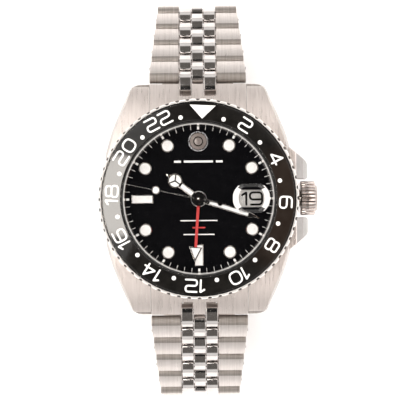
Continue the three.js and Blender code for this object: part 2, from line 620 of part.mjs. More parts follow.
function bladeB() {
  const b = BLADE_B_PIVOT;
  const wide = CLASP_LENGTH - 2.9;
  const plate = alongX(outline([[b.y + 0.5, -1.55], [wide, -1.55], [wide, -0.95], [b.y + 0.5, -0.95]]),
    -BLADE_B_HALF, BLADE_B_HALF);
  const hub = alongX(outline(circle(b.y, b.z, KNUCKLE_R, 8)), -3.0, 3.0);
  const slots = bothSides((side) => {
    const [x0, x1] = span(side, 3.0, 9);
    return alongZ(outline(box2d(x0, b.y - 2, x1, b.y + 1.3)), -3, 3);
  });
  const bar = rodX(BLADE_PIN_R, -BLADE_A_HALF + 0.2, BLADE_A_HALF - 0.2, b.y, b.z, 8);
  const neckSide = outline([[wide - 0.3, -1.55], [CLASP_LENGTH - 1, -1.55],
    [CLASP_LENGTH, -LINK_R + 0.25], ...arc(CLASP_LENGTH, 0, 1.0, -80, 140, 5), [wide - 0.3, -0.95]]);
  const neck = alongX(neckSide, -1.0, 1.0);
  return join(cut(plate, ...slots), hub, bar, neck);
}
part('clasp_blade_b', bladeB(), polishedSteel, clasp);

export default watch;
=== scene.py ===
"""Looks of a self-winding wristwatch with a turning 24-hour bezel and a five-column bracelet.

Shapes are written in millimetres in the watch's own frame: +Z the way the dial faces, +Y to 12 o'clock,
+X to the crown. Each visible piece is built here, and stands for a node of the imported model.
"""
import json
import math

import bmesh
import bpy
from mathutils import Matrix, Vector


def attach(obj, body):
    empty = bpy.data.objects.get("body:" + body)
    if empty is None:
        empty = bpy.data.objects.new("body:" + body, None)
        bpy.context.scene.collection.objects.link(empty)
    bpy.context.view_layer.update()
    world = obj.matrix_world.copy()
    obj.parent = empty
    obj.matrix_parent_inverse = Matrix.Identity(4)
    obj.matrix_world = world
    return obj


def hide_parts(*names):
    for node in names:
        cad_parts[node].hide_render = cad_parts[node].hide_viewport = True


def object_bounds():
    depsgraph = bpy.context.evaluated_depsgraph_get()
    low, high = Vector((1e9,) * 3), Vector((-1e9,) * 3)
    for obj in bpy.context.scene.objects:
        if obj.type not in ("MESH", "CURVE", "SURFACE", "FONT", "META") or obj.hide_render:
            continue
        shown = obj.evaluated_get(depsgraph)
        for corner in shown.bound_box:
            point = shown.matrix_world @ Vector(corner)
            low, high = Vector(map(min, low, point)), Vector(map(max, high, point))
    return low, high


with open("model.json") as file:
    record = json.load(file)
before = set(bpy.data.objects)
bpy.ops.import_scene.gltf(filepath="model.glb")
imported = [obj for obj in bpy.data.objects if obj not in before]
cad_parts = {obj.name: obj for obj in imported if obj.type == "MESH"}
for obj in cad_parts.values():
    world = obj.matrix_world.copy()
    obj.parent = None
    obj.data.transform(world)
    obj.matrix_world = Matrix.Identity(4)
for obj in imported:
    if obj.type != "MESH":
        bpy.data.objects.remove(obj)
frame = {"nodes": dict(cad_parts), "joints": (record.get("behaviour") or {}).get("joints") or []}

CAD_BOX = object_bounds()
MM = 0.001
SMOOTH_BELOW = math.radians(32)  # faces that meet at less than this are shaded as one surface

# ---- Driving dimensions, in millimetres ----
CASE_R = 20.0
CASE_TOP = 8.5
CASE_BOTTOM = 0.7
LUG_IN = 10.0
LUG_TIP = 23.7
BORE_R = 15.6
DIAL_TOP = 6.25
PRINT_LEVELS = (DIAL_TOP - 0.01, DIAL_TOP + 0.02)
MARKER_R = 12.65
BAR_MARKER_R = 11.6
EMBLEM_R = 11.85
TRACK_R = 14.62
DATE_TOP = 5.7
HAND_PIPE_END = 5.45
BEZEL_R = 20.55
NOTCH_DEPTH = 0.42
BEZEL_NOTCHES = 60
INSERT_IN, INSERT_OUT = 15.95, 19.55
INSERT_TOP, INSERT_RIM = 11.05, 10.72
BEZEL_OFFSET = 2.9  # degrees that the bezel stands clockwise of the dial
CRYSTAL_TOP = 11.35
WINDOW_X = 10.7
SPRING_BAR_R, SPRING_BAR_Y, SPRING_BAR_Z = 0.85, 20.6, 2.5
CROWN_Z = 4.8
PITCH = 5.0
LINK_R = 1.25
END_GAP = 0.13
CENTRE_HALF = 1.175
FLANK_IN, FLANK_OUT = 1.375, 3.725
OUTER_IN = 3.925
FIRST_WIDTH, WIDTH_STEP, LAST_WIDTH = 19.95, 0.77, 16.0
PIN_R = 0.42
END_LINK_SLOPE = 24.0  # degrees that the flanking links on an end link slope

JOINTS = {j["name"]: j for j in frame["joints"]}


# ---- Plain geometry: a part is (vertices, faces) in millimetres ----
def arc(cx, cy, r, start, end, steps):
    """Points round a centre from one angle to another, in degrees, both ends included."""
    angles = [math.radians(start + (end - start) * i / steps) for i in range(steps + 1)]
    return [(cx + r * math.cos(a), cy + r * math.sin(a)) for a in angles]


def circle(cx, cy, r, steps=48):
    return arc(cx, cy, r, 0, 360 - 360 / steps, steps - 1)


def prism(points, z0, z1):
    n = len(points)
    verts = [(x, y, z) for z in (z0, z1) for x, y in points]
    faces = [list(range(n))[::-1], list(range(n, 2 * n))]
    faces += [[i, (i + 1) % n, n + (i + 1) % n, n + i] for i in range(n)]
    return verts, faces


def rectangle(x0, y0, x1, y1):
    return [(x0, y0), (x1, y0), (x1, y1), (x0, y1)]


def along_x(points, x0, x1):
    """Extrudes a (y, z) outline along X."""
    verts, faces = prism(points, x0, x1)
    return [(e, y, z) for y, z, e in verts], faces


def rod(r, x0, x1, y=0.0, z=0.0, steps=20):
    return along_x(circle(y, z, r, steps), x0, x1)


def lathe(profile, steps=128, shaped=None):
    """Turns (r, z) points about Z. The profile closes on itself, or starts and ends on the axis."""
    verts, rings = [], []
    for r, z in profile:
        start = len(verts)
        if r == 0:
            verts.append((0.0, 0.0, z))
            rings.append([start] * steps)
            continue
        for k in range(steps):
            a = 2 * math.pi * k / steps
            here = shaped(r, z, a) if shaped else r
            verts.append((here * math.cos(a), here * math.sin(a), z))
        rings.append([start + k for k in range(steps)])
    loop = rings if profile[0][0] == 0 else rings + rings[:1]
    faces = []
    for low, high in zip(loop, loop[1:]):
        for k in range(steps):
            n = (k + 1) % steps
            face = list(dict.fromkeys([low[k], low[n], high[n], high[k]]))
            if len(face) > 2:
                faces.append(face)
    return verts, faces


def loft(sections):
    """Joins equal rings of points, with a face on each end."""
    n = len(sections[0])
    verts = [p for ring in sections for p in ring]
    faces = [list(range(n))[::-1], list(range(len(verts) - n, len(verts)))]
    for s in range(len(sections) - 1):
        for i in range(n):
            a, b = s * n + i, s * n + (i + 1) % n
            faces.append([a, b, b + n, a + n])
    return verts, faces


def moved(part, matrix):
    return [tuple(matrix @ Vector(v)) for v in part[0]], part[1]


def shifted(part, x=0.0, y=0.0, z=0.0):
    return moved(part, Matrix.Translation((x, y, z)))


def turned_z(part, clock_degrees):
    """Turns a part clockwise about the dial's axis, as a clock hand turns."""
    return moved(part, Matrix.Rotation(-math.radians(clock_degrees), 4, "Z"))


def to_bmesh(part):
    bm = bmesh.new()
    verts = [bm.verts.new(v) for v in part[0]]
    for face in part[1]:
        bm.faces.new([verts[i] for i in face])
    bmesh.ops.recalc_face_normals(bm, faces=bm.faces)
    return bm


def from_bmesh(bm):
    bm.verts.index_update()
    part = [tuple(v.co) for v in bm.verts], [[v.index for v in f.verts] for f in bm.faces]
    bm.free()
    return part


def bevelled(part, width, segments=3, above=28):
    """Rounds every edge that is sharper than an angle."""
    bm = to_bmesh(part)
    edges = [e for e in bm.edges if e.is_manifold and e.calc_face_angle(0) > math.radians(above)]
    bmesh.ops.bevel(bm, geom=edges, offset=width, segments=segments, affect="EDGES", profile=0.5,
                    clamp_overlap=True)
    return from_bmesh(bm)


def boolean(base, tool, operation):
    """Joins, cuts or intersects two parts."""
    made = []
    for part in (base, tool):
        mesh = bpy.data.meshes.new("tool")
        bm = to_bmesh(part)
        bm.to_mesh(mesh)
        bm.free()
        obj = bpy.data.objects.new("tool", mesh)
        bpy.context.scene.collection.objects.link(obj)
        made.append(obj)
    mod = made[0].modifiers.new("cut", "BOOLEAN")
    mod.object = made[1]
    mod.operation = operation
    mod.solver = "EXACT"
    graph = bpy.context.evaluated_depsgraph_get()
    mesh = bpy.data.meshes.new_from_object(made[0].evaluated_get(graph))
    part = [tuple(v.co) for v in mesh.vertices], [list(p.vertices) for p in mesh.polygons]
    bpy.data.meshes.remove(mesh)
    for obj in made:
        bpy.data.meshes.remove(obj.data)
    return part


class Shape:
    """Several parts gathered into one piece, each with the number of its material."""

    def __init__(self):
        self.verts, self.faces, self.looks = [], [], []

    def add(self, part, look=0):
        start = len(self.verts)
        self.verts += part[0]
        self.faces += [[start + i for i in face] for face in part[1]]
        self.looks += [look] * len(part[1])
        return self


def piece(name, shape, body, materials, replaces=()):
    """Makes a Blender object of a shape, on the body that carries it."""
    if not isinstance(shape, Shape):
        shape = Shape().add(shape)
    mesh = bpy.data.meshes.new(name)
    mesh.from_pydata([Vector(v) * MM for v in shape.verts], [], shape.faces)
    for material in materials:
        mesh.materials.append(material)
    mesh.polygons.foreach_set("material_index", shape.looks)
    bm = bmesh.new()
    bm.from_mesh(mesh)
    bmesh.ops.recalc_face_normals(bm, faces=bm.faces)
    bm.to_mesh(mesh)
    bm.free()
    mesh.shade_smooth()
    mesh.set_sharp_from_angle(angle=SMOOTH_BELOW)
    obj = bpy.data.objects.new(name, mesh)
    bpy.context.scene.collection.objects.link(obj)
    weighted = obj.modifiers.new("weighted", "WEIGHTED_NORMAL")
    weighted.keep_sharp = True
    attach(obj, body)
    if replaces:
        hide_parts(*replaces)
    return obj


# ---- Materials ----
class Look:
    """A Principled material, and the nodes that give its surface detail."""

    def __init__(self, name, color, metallic, roughness, **sockets):
        self.material = bpy.data.materials.new(name)
        self.material.use_nodes = True
        self.tree = self.material.node_tree
        self.shader = self.tree.nodes["Principled BSDF"]
        self.set(Base_Color=(*color, 1.0), Metallic=metallic, Roughness=roughness, **sockets)
        self.coords = self.node("TexCoord").outputs["Object"]

    def set(self, **sockets):
        for name, value in sockets.items():
            self.shader.inputs[name.replace("_", " ")].default_value = value

    def node(self, kind):
        return self.tree.nodes.new("ShaderNode" + kind)

    def join(self, source, target):
        self.tree.links.new(source, target)

    def noise(self, stretch, detail=2.0, vector=None):
        """Noise whose grains are 1/stretch metres long on each axis."""
        mapping = self.node("Mapping")
        mapping.inputs["Scale"].default_value = stretch
        self.join(vector or self.coords, mapping.inputs["Vector"])
        noise = self.node("TexNoise")
        noise.inputs["Scale"].default_value = 1.0
        noise.inputs["Detail"].default_value = detail
        self.join(mapping.outputs["Vector"], noise.inputs["Vector"])
        return noise.outputs["Fac"]

    def ranged(self, source, low, high, start=0.3, end=0.7):
        node = self.node("MapRange")
        for name, value in (("From Min", start), ("From Max", end), ("To Min", low), ("To Max", high)):
            node.inputs[name].default_value = value
        self.join(source, node.inputs["Value"])
        return node.outputs["Result"]

    def roughness(self, source, low, high):
        self.join(self.ranged(source, low, high), self.shader.inputs["Roughness"])

    def bump(self, source, strength, distance=0.00003):
        node = self.node("Bump")
        node.inputs["Strength"].default_value = strength
        node.inputs["Distance"].default_value = distance
        self.join(source, node.inputs["Height"])
        self.join(node.outputs["Normal"], self.shader.inputs["Normal"])

    def tones(self, source, low, high):
        ramp = self.node("Mix")
        ramp.data_type = "RGBA"
        ramp.inputs["A"].default_value = (*low, 1.0)
        ramp.inputs["B"].default_value = (*high, 1.0)
        self.join(self.ranged(source, 0.0, 1.0), ramp.inputs["Factor"])
        self.join(ramp.outputs["Result"], self.shader.inputs["Base Color"])


def brushed_steel(name, low=(0.72, 0.655, 0.62), high=(0.80, 0.735, 0.70), rough=(0.26, 0.38)):
    """Steel with straight grain: streaks that are narrow across X and long the other ways."""
    look = Look(name, high, 1.0, 0.35, Anisotropic=0.55)
    tangent = look.node("Tangent")
    tangent.direction_type = "RADIAL"
    tangent.axis = "X"
    look.join(tangent.outputs["Tangent"], look.shader.inputs["Tangent"])
    fine = look.noise((9000, 160, 160), detail=4.0)
    look.roughness(fine, *rough)
    look.tones(look.noise((4200, 140, 140), detail=3.0), low, high)
    look.bump(fine, 0.12)
    return look.material


def circular_steel(name, low=(0.58, 0.55, 0.52), high=(0.74, 0.71, 0.68)):
    """Steel turned on a lathe, with fine rings about the watch's own axis."""
    look = Look(name, high, 1.0, 0.3, Anisotropic=0.4)
    split = look.node("SeparateXYZ")
    look.join(look.coords, split.inputs["Vector"])
    flat = look.node("CombineXYZ")
    look.join(split.outputs["X"], flat.inputs["X"])
    look.join(split.outputs["Y"], flat.inputs["Y"])
    length = look.node("VectorMath")
    length.operation = "LENGTH"
    look.join(flat.outputs["Vector"], length.inputs[0])
    rings = look.noise((6000, 6000, 6000), detail=3.0, vector=length.outputs["Value"])
    look.roughness(rings, 0.2, 0.38)
    look.tones(rings, low, high)
    look.bump(rings, 0.2)
    return look.material


def polished(name, low, high, rough=(0.04, 0.1), metallic=1.0, **sockets):
    """A polished surface with faint hairlines in two directions."""
    look = Look(name, high, metallic, rough[0], **sockets)
    hairs = look.noise((5200, 700, 2600), detail=5.0)
    look.roughness(hairs, *rough)
    look.tones(look.noise((420, 260, 330)), low, high)
    look.bump(look.noise((900, 5600, 1500), detail=4.0), 0.03)
    return look.material


def painted(name, low, high, rough, grain=9000, bump=0.12, **sockets):
    """Paint or lume: a fine grain in colour, gloss and height."""
    look = Look(name, high, 0.0, rough[1], **sockets)
    specks = look.noise((grain, grain, grain), detail=3.0)
    look.roughness(specks, *rough)
    look.tones(look.noise((grain / 6,) * 3), low, high)
    look.bump(specks, bump)
    return look.material


def clear(name, color, alpha, rough=(0.02, 0.05)):
    """Sapphire, as a thin clear surface that keeps its gloss."""
    look = Look(name, color, 0.0, rough[0], Alpha=alpha, IOR=1.77)
    look.roughness(look.noise((500, 500, 500)), *rough)
    return look.material


BRUSHED = brushed_steel("brushed steel")
BRUSHED_LINK = brushed_steel("brushed links", (0.61, 0.565, 0.54), (0.70, 0.655, 0.63))
# painted shade: a darker copy of brushed steel for the curled hinge ends of the outer links and the ends of
# the lugs
BRUSHED_END_SHADE = brushed_steel("brushed steel, painted end shade", (0.27, 0.245, 0.225), (0.37, 0.34, 0.315), (0.3, 0.42))
TURNED = circular_steel("turned steel")
POLISHED = polished("polished steel", (0.74, 0.71, 0.68), (0.82, 0.79, 0.76))
# painted dark reflection: a darker copy of polished steel, for the seconds needle
POLISH_DARK_REFLECTION = polished("polished steel, painted dark reflection", (0.30, 0.29, 0.28), (0.42, 0.41, 0.40), (0.08, 0.16))
# painted dark reflection: polished steel coloured near black, as if it mirrored the dark overhead, for hand
# bosses, spokes, cap, weight and the emblem's field
HUB_DARK_REFLECTION = polished("steel, painted dark reflection", (0.022, 0.021, 0.02), (0.042, 0.04, 0.038), (0.1, 0.18))
# painted shade: near-black steel where shade falls in the bezel's notches, under its teeth, and in the
# crown's flutes
GROOVE_SHADE = polished("steel, painted groove shade", (0.05, 0.047, 0.044), (0.09, 0.083, 0.077), (0.3, 0.5))
CASE_POLISH = polished("polished case", (0.48, 0.455, 0.44), (0.58, 0.555, 0.54), (0.05, 0.12))
# painted shade: a darker copy of polished steel for the outer end faces of the crown guards
GUARD_END_SHADE = polished("guard end steel, painted shade", (0.22, 0.21, 0.20), (0.30, 0.285, 0.275), (0.1, 0.18))
CROWN_STEEL = polished("crown steel", (0.46, 0.41, 0.385), (0.58, 0.52, 0.49), (0.16, 0.26))
EMBLEM = polished("emblem steel", (0.17, 0.145, 0.135), (0.25, 0.22, 0.205), (0.3, 0.42))
SPRING = polished("spring steel", (0.42, 0.43, 0.46), (0.56, 0.57, 0.60), (0.2, 0.34))
BRASS = polished("gilt brass", (0.62, 0.47, 0.20), (0.74, 0.58, 0.28), (0.22, 0.36))
RHODIUM = circular_steel("rhodium plate", (0.62, 0.63, 0.65), (0.76, 0.77, 0.78))
DIAL_BLACK = painted("black dial lacquer", (0.0015, 0.0015, 0.0018), (0.003, 0.003, 0.0034), (0.03, 0.07),
                     grain=4000, bump=0.004, Coat_Weight=0.3, Coat_Roughness=0.03)
CERAMIC = painted("black ceramic", (0.006, 0.0055, 0.005), (0.012, 0.011, 0.010), (0.03, 0.07),
                  grain=3000, bump=0.006, Specular_IOR_Level=0.7)
LUME = painted("white lume", (0.78, 0.78, 0.76), (0.87, 0.87, 0.85), (0.45, 0.7))
PRINT = painted("white print", (0.80, 0.80, 0.78), (0.90, 0.90, 0.88), (0.3, 0.5), grain=6000)
DATE_PAPER = painted("date disc paint", (0.56, 0.55, 0.53), (0.66, 0.64, 0.62), (0.4, 0.6), grain=7000)
DATE_INK = painted("date ink", (0.004, 0.004, 0.004), (0.008, 0.007, 0.006), (0.35, 0.5), grain=7000,
                   Specular_IOR_Level=0.1)
RED = painted("red lacquer", (0.44, 0.016, 0.014), (0.52, 0.024, 0.021), (0.42, 0.56), grain=6000, bump=0.05)
RUBBER = painted("seal rubber", (0.012, 0.012, 0.012), (0.03, 0.03, 0.03), (0.6, 0.85), grain=4000)
SAPPHIRE = clear("sapphire", (0.01, 0.01, 0.012), 0.06)
# painted highlight: pale, half-clear sapphire on the crystal's rim, standing for the glint of its bevel
SAPPHIRE_RIM_GLINT = clear("sapphire rim, painted highlight", (0.80, 0.79, 0.77), 0.4, (0.1, 0.2))
LINK_POLISH = polished("polished links", (0.64, 0.61, 0.595), (0.72, 0.69, 0.675), (0.05, 0.12))
# painted highlight and painted shade on the date lens: a pale half-clear copy of sapphire and a dark one for
# its sloped faces
LENS_SIDE_GLINT = clear("lens side, painted highlight", (0.90, 0.89, 0.87), 0.72, (0.2, 0.35))
LENS_EDGE_SHADE = clear("lens bevel, painted shade", (0.10, 0.10, 0.10), 0.3, (0.04, 0.1))


# ---- Case ----
def bezier(points, steps):
    """A quadratic curve through three (y, z) points, as steps + 1 points."""
    (ax, ay), (bx, by), (cx, cy) = points
    made = []
    for i in range(steps + 1):
        t = i / steps
        made.append(((1 - t) ** 2 * ax + 2 * t * (1 - t) * bx + t * t * cx,
                     (1 - t) ** 2 * ay + 2 * t * (1 - t) * by + t * t * cy))
    return made


LUG_CROWN = bezier([(11.0, CASE_TOP), (18.5, CASE_TOP), (LUG_TIP, 4.9)], 40)
LUG_FLANK = [(8.0, 19.0), (9.8, 18.85), (13.6, 17.75), (17.4, 16.25), (19.9, 15.15), (22.3, 14.1),
             (22.9, 13.8), (23.3, 13.35), (23.6, 12.6), (LUG_TIP, 11.9)]


def between(table, at):
    """Reads a table of (position, value) at a position, with straight lines between its rows."""
    if at <= table[0][0]:
        return table[0][1]
    for (p0, v0), (p1, v1) in zip(table, table[1:]):
        if at <= p1:
            return v0 + (v1 - v0) * (at - p0) / (p1 - p0)
    return table[-1][1]


def lug_section(y, top, flank, chamfer):
    """Cross-section of a lug at one y: a flat top, a wide polished chamfer outside, a small one inside."""
    low = CASE_BOTTOM - 0.3 * max(0.0, (y - 17.6) / 6.1)
    small = 0.06
    return [(LUG_IN, y, low + small), (LUG_IN + small, y, low), (flank - small * 3, y, low),
            (flank, y, low + small * 3), (flank, y, top - chamfer * 1.3), (flank - chamfer, y, top),
            (LUG_IN + small, y, top), (LUG_IN, y, top - small)]


def lug():
    stations = [8.0, 9.5, 11.0, 12.5, 14.0, 15.5, 17.0, 18.3, 19.4, 20.4, 21.3, 22.0, 22.5, 22.9, 23.2, 23.45,
                23.6, LUG_TIP]
    sections = []
    for y in stations:
        rounding = 0.25 * max(0.0, (y - 23.1) / 0.6) ** 2
        chamfer = between([(19.5, 0.5), (22.5, 0.22)], y)
        sections.append(lug_section(y, between(LUG_CROWN, y) - rounding, between(LUG_FLANK, y), chamfer))
    return loft(sections)


def crown_guard(side):
    """The shoulder beside the crown, with its edges rounded."""
    outline = [(15.0, 3.95), (22.2, 3.95), (22.5, 4.3), (22.5, 6.9), (22.25, 7.5), (18.7, 10.4), (15.0, 12.0)]
    shoulder = prism([(x, side * y) for x, y in outline], CASE_BOTTOM + 0.6, CASE_TOP - 0.35)
    verts, faces = prism([(19.9, CASE_TOP - 0.3), (24.0, 5.4), (24.0, 12.0), (19.9, 12.0)], 2.0, 14.0)
    slope = [(x, side * y, z) for x, z, y in verts], faces
    verts, faces = prism([(22.5, 3.6), (21.45, 7.3), (21.45, 12.0), (24.0, 12.0), (24.0, 3.6)], 2.0, 14.0)
    end = [(x, side * y, z) for x, z, y in verts], faces
    return bevelled(boolean(boolean(shoulder, slope, "DIFFERENCE"), end, "DIFFERENCE"), 0.12)


def case_middle():
    drum = lathe([(16.2, CASE_BOTTOM), (CASE_R - 0.4, CASE_BOTTOM), (CASE_R, CASE_BOTTOM + 0.4),
                  (CASE_R, CASE_TOP - 0.5), (CASE_R - 0.35, CASE_TOP), (16.2, CASE_TOP)], 160)
    for sx in (1, -1):
        for sy in (1, -1):
            mirror = Matrix.Diagonal((sx, sy, 1, 1))
            drum = boolean(drum, moved(lug(), mirror), "UNION")
    for side in (1, -1):
        drum = boolean(drum, crown_guard(side), "UNION")
    recess = bevelled(prism([(20.45, -3.95), (24, -3.95), (24, 3.95), (20.45, 3.95)], -1, 12), 0.05)
    drum = boolean(drum, recess, "DIFFERENCE")
    drum = boolean(drum, rod(1.75, 14, 22, 0, CROWN_Z), "DIFFERENCE")
    drum = boolean(drum, prism(circle(0, 0, 16.2, 160), -1, 12), "DIFFERENCE")
    for side in (1, -1):
        hole = rod(SPRING_BAR_R, -11.5, 11.5, side * SPRING_BAR_Y, SPRING_BAR_Z)
        drum = boolean(drum, hole, "DIFFERENCE")
    return drum


CASE_LOOKS = [BRUSHED, CASE_POLISH, GUARD_END_SHADE, POLISHED, BRUSHED_END_SHADE]


def build_case():
    shape = Shape().add(case_middle(), 0)
    neck = lathe([(BORE_R + 0.2, 7.6), (16.6, 7.6), (16.6, 10.25), (BORE_R + 0.2, 10.25)])
    flange = lathe([(15.98, 2.2), (16.3, 2.2), (16.3, 8.8), (15.55, 8.8), (15.42, 8.7), (15.05, 6.42),
                    (15.05, 6.3), (15.98, 6.3)])
    inner = CASE_LOOKS.index(POLISHED)
    shape.add(neck, inner).add(flange, inner)
    polish_sides(piece("case_body", shape, "case", CASE_LOOKS, ["case_middle"]))
    rim = [(0, 0.0), (13.2, 0.0), (13.5, 0.12), (13.9, 0.12), (14.2, 0.0), (16.5, 0.0), (17.0, 0.5),
           (17.0, 1.3), (15.6, 1.3), (15.6, 2.3), (14.6, 2.3), (14.6, 0.95), (0, 0.95)]

    def notched(r, z, angle):
        near = abs((angle * 6 / math.pi + 0.5) % 1 - 0.5)
        return r - 0.7 if 15.9 < r and z < 0.9 and near < 0.14 else r

    piece("case_back_cover", lathe(rim, 180, notched), "case", [TURNED], ["case_back"])


def polish_sides(obj):
    """Polishes the flanks and chamfers of the case, and paints shade on the ends of its guards and lugs with
    darker steel.
    """
    for face in obj.data.polygons:
        if CASE_LOOKS[face.material_index] is not BRUSHED:
            continue
        if abs(face.normal.x) > 0.25:
            # painted shade: the outer end faces of the crown guards get the darker polished steel
            at_guard_end = face.center.x / MM > 21.4 and face.normal.x > 0.85
            face.material_index = CASE_LOOKS.index(GUARD_END_SHADE if at_guard_end else CASE_POLISH)
        # painted shade: faces turned towards 12 or 6 o'clock, the ends of the lugs, get the darker brushed
        # steel
        elif abs(face.normal.y) > 0.62:
            face.material_index = CASE_LOOKS.index(BRUSHED_END_SHADE)


# ---- Bezel ----
def insert_height(r):
    return INSERT_TOP + (INSERT_RIM - INSERT_TOP) * (r - INSERT_IN) / (INSERT_OUT - INSERT_IN)


def build_bezel():
    def notch(angle):
        """1 in the middle of a notch of the coin edge, 0 on the teeth."""
        return max(0.0, 1 - abs(math.sin(angle * BEZEL_NOTCHES / 2)) / 0.66)

    def coin_edge(r, z, angle):
        if r < 20.1 or z < 9.1:
            return r
        return r - NOTCH_DEPTH * notch(angle) * min(1.0, (r - 20.0) / 0.4)

    profile = [(16.8, 8.75), (20.2, 8.75), (20.45, 8.9), (20.45, 9.05), (BEZEL_R, 9.2), (BEZEL_R, 9.95),
               (20.42, 10.3), (20.15, 10.62), (19.9, 10.8), (19.65, 10.8), (19.6, 10.3), (16.8, 10.3)]
    ring = piece("bezel_coin_ring", lathe(profile, BEZEL_NOTCHES * 12, coin_edge), "bezel",
                 [POLISHED, GROOVE_SHADE], ["bezel_ring"])
    # painted shade: faces in the notches of the coin edge and on the flange under its teeth get near-black
    # steel
    for face in ring.data.polygons:
        x, y, z = face.center / MM
        if math.hypot(x, y) > 20.0 and (notch(math.atan2(y, x)) > 0.4 or z < 9.15):
            face.material_index = 1
    plate = [(INSERT_IN, 10.42), (INSERT_OUT, 10.42), (INSERT_OUT, INSERT_RIM - 0.04),
             (INSERT_OUT - 0.06, INSERT_RIM), (INSERT_IN + 0.08, INSERT_TOP), (INSERT_IN, INSERT_TOP - 0.06)]
    piece("bezel_number_ring", lathe(plate, 160), "bezel", [CERAMIC], ["bezel_insert"])
    build_bezel_print()


# ---- Numerals: rounded strokes of one width, drawn in a box one unit wide and one high ----
def rounded(points, radius, closed=False, steps=6):
    """A path through points whose corners are turned into arcs."""
    made = []
    n = len(points)
    for i, p in enumerate(points):
        if not closed and i in (0, n - 1):
            made.append(p)
            continue
        here, before, after = Vector(p), Vector(points[i - 1]), Vector(points[(i + 1) % n])
        into, out = (before - here), (after - here)
        reach = min(radius, into.length / 2, out.length / 2)
        a, b = here + into.normalized() * reach, here + out.normalized() * reach
        for k in range(steps + 1):
            t = k / steps
            made.append(tuple((1 - t) ** 2 * a + 2 * t * (1 - t) * here + t * t * b))
    return made


GLYPHS = {
    "0": (1.0, [([(0, 0), (1, 0), (1, 1), (0, 1)], 0.42, True)]),
    "1": (0.34, [([(0.34, 0), (0.34, 1), (0.0, 0.78)], 0.03, False)]),
    "2": (1.0, [([(0.02, 1), (1, 1), (1, 0.5), (0, 0.5), (0, 0), (1, 0)], 0.28, False)]),
    "4": (1.0, [([(0.74, 0), (0.74, 1)], 0.0, False), ([(0.74, 1), (0, 0.28), (1, 0.28)], 0.06, False)]),
    "6": (1.0, [([(0.92, 1), (0, 1), (0, 0), (1, 0), (1, 0.58), (0.02, 0.58)], 0.32, False)]),
    "8": (1.0, [([(0, 0), (1, 0), (1, 0.52), (0, 0.52)], 0.26, True),
                ([(0.05, 0.52), (0.95, 0.52), (0.95, 1), (0.05, 1)], 0.25, True)]),
    "9": (1.0, [([(0.08, 0), (1, 0), (1, 1), (0, 1), (0, 0.42), (0.98, 0.42)], 0.32, False)]),
}


def stroke(path, width, height, closed):
    """A raised stroke along a flat path, with round ends and a low domed section."""
    points = [Vector(p) for p in path]
    n = len(points)
    widths = [width / 2] * n
    if not closed:
        first, last = points[0], points[-1]
        lead = (points[0] - points[1]).normalized() * width / 2
        tail = (points[-1] - points[-2]).normalized() * width / 2
        caps = [(1.0, 0.05), (0.86, 0.5), (0.5, 0.86)]
        points = ([first + lead * d for d, _ in caps] + points + [last + tail * d for d, _ in reversed(caps)])
        widths = [width / 2 * w for _, w in caps] + widths + [width / 2 * w for _, w in reversed(caps)]
        n = len(points)
    across = [(-1.0, 0.0), (-0.8, 0.75), (0.0, 1.0), (0.8, 0.75), (1.0, 0.0)]
    verts, faces = [], []
    for i, p in enumerate(points):
        back = points[i - 1] if closed or i else p
        ahead = points[(i + 1) % n] if closed or i < n - 1 else p
        run = (ahead - back).normalized()
        side = Vector((-run.y, run.x))
        for u, h in across:
            verts.append((*(p + side * u * widths[i]), height * h))
    k = len(across)
    for i in range(n if closed else n - 1):
        j = (i + 1) % n
        for s in range(k):
            t = (s + 1) % k
            faces.append([i * k + s, i * k + t, j * k + t, j * k + s])
    if not closed:
        faces += [list(range(k)), list(range((n - 1) * k, n * k))[::-1]]
    return verts, faces


def numeral(text, digit_width, digit_height, width, height, gap):
    """Strokes of a number, centred on the origin."""
    spans = [GLYPHS[c][0] * digit_width for c in text]
    x = -(sum(spans) + gap * (len(text) - 1)) / 2
    shape = Shape()
    for lift, (c, span) in enumerate(zip(text, spans)):
        for order, (points, radius, closed) in enumerate(GLYPHS[c][1]):
            at = [(x + px * digit_width, (py - 0.5) * digit_height) for px, py in points]
            path = rounded(at, radius * digit_height, closed) if radius else at
            shape.add(stroke(path, width, height + 0.004 * (order + lift), closed))
        x += span + gap
    return shape.verts, shape.faces


def on_insert(part, clock_degrees, radius):
    """Lays a flat part on the sloped insert, its top outwards."""
    placed = turned_z(shifted(part, y=radius), clock_degrees)
    return [(x, y, z + insert_height(math.hypot(x, y))) for x, y, z in placed[0]], placed[1]


def build_bezel_print():
    shape = Shape()
    for hour in range(2, 24, 2):
        text = numeral(str(hour), 2.3, 2.45, 0.37, 0.03, 0.75)
        shape.add(on_insert(text, hour * 15 + BEZEL_OFFSET, 17.72))
    for hour in range(1, 24, 2):
        dot = lathe([(0, -0.02), (0.46, -0.02), (0.44, 0.02), (0.3, 0.035), (0, 0.04)], 24)
        shape.add(on_insert(dot, hour * 15 + BEZEL_OFFSET, 16.9))
    steps = 8
    rows = [(-2.65 * (1 - k / steps), 19.05 - 2.75 * k / steps) for k in range(steps + 1)]
    outline = rows + [(-x, y) for x, y in rows[::-1][1:]]
    arrow = prism([(x, y - 17.7) for x, y in outline], -0.02, 0.03)
    shape.add(on_insert(arrow, BEZEL_OFFSET, 17.7))
    piece("bezel_numbers", shape, "bezel", [PRINT])


# ---- Dial ----
def bar(length, width, z0, z1, edge=0.05):
    outline = rectangle(-width / 2, -length / 2, width / 2, length / 2)
    return bevelled(prism(outline, z0, z1), edge, 2)


def flat_line(x, y, length, thick):
    """A thin printed bar, where a line of text would stand."""
    outline = rectangle(x - length / 2, y - thick / 2, x + length / 2, y + thick / 2)
    return bevelled(prism(outline, *PRINT_LEVELS), 0.01, 1)


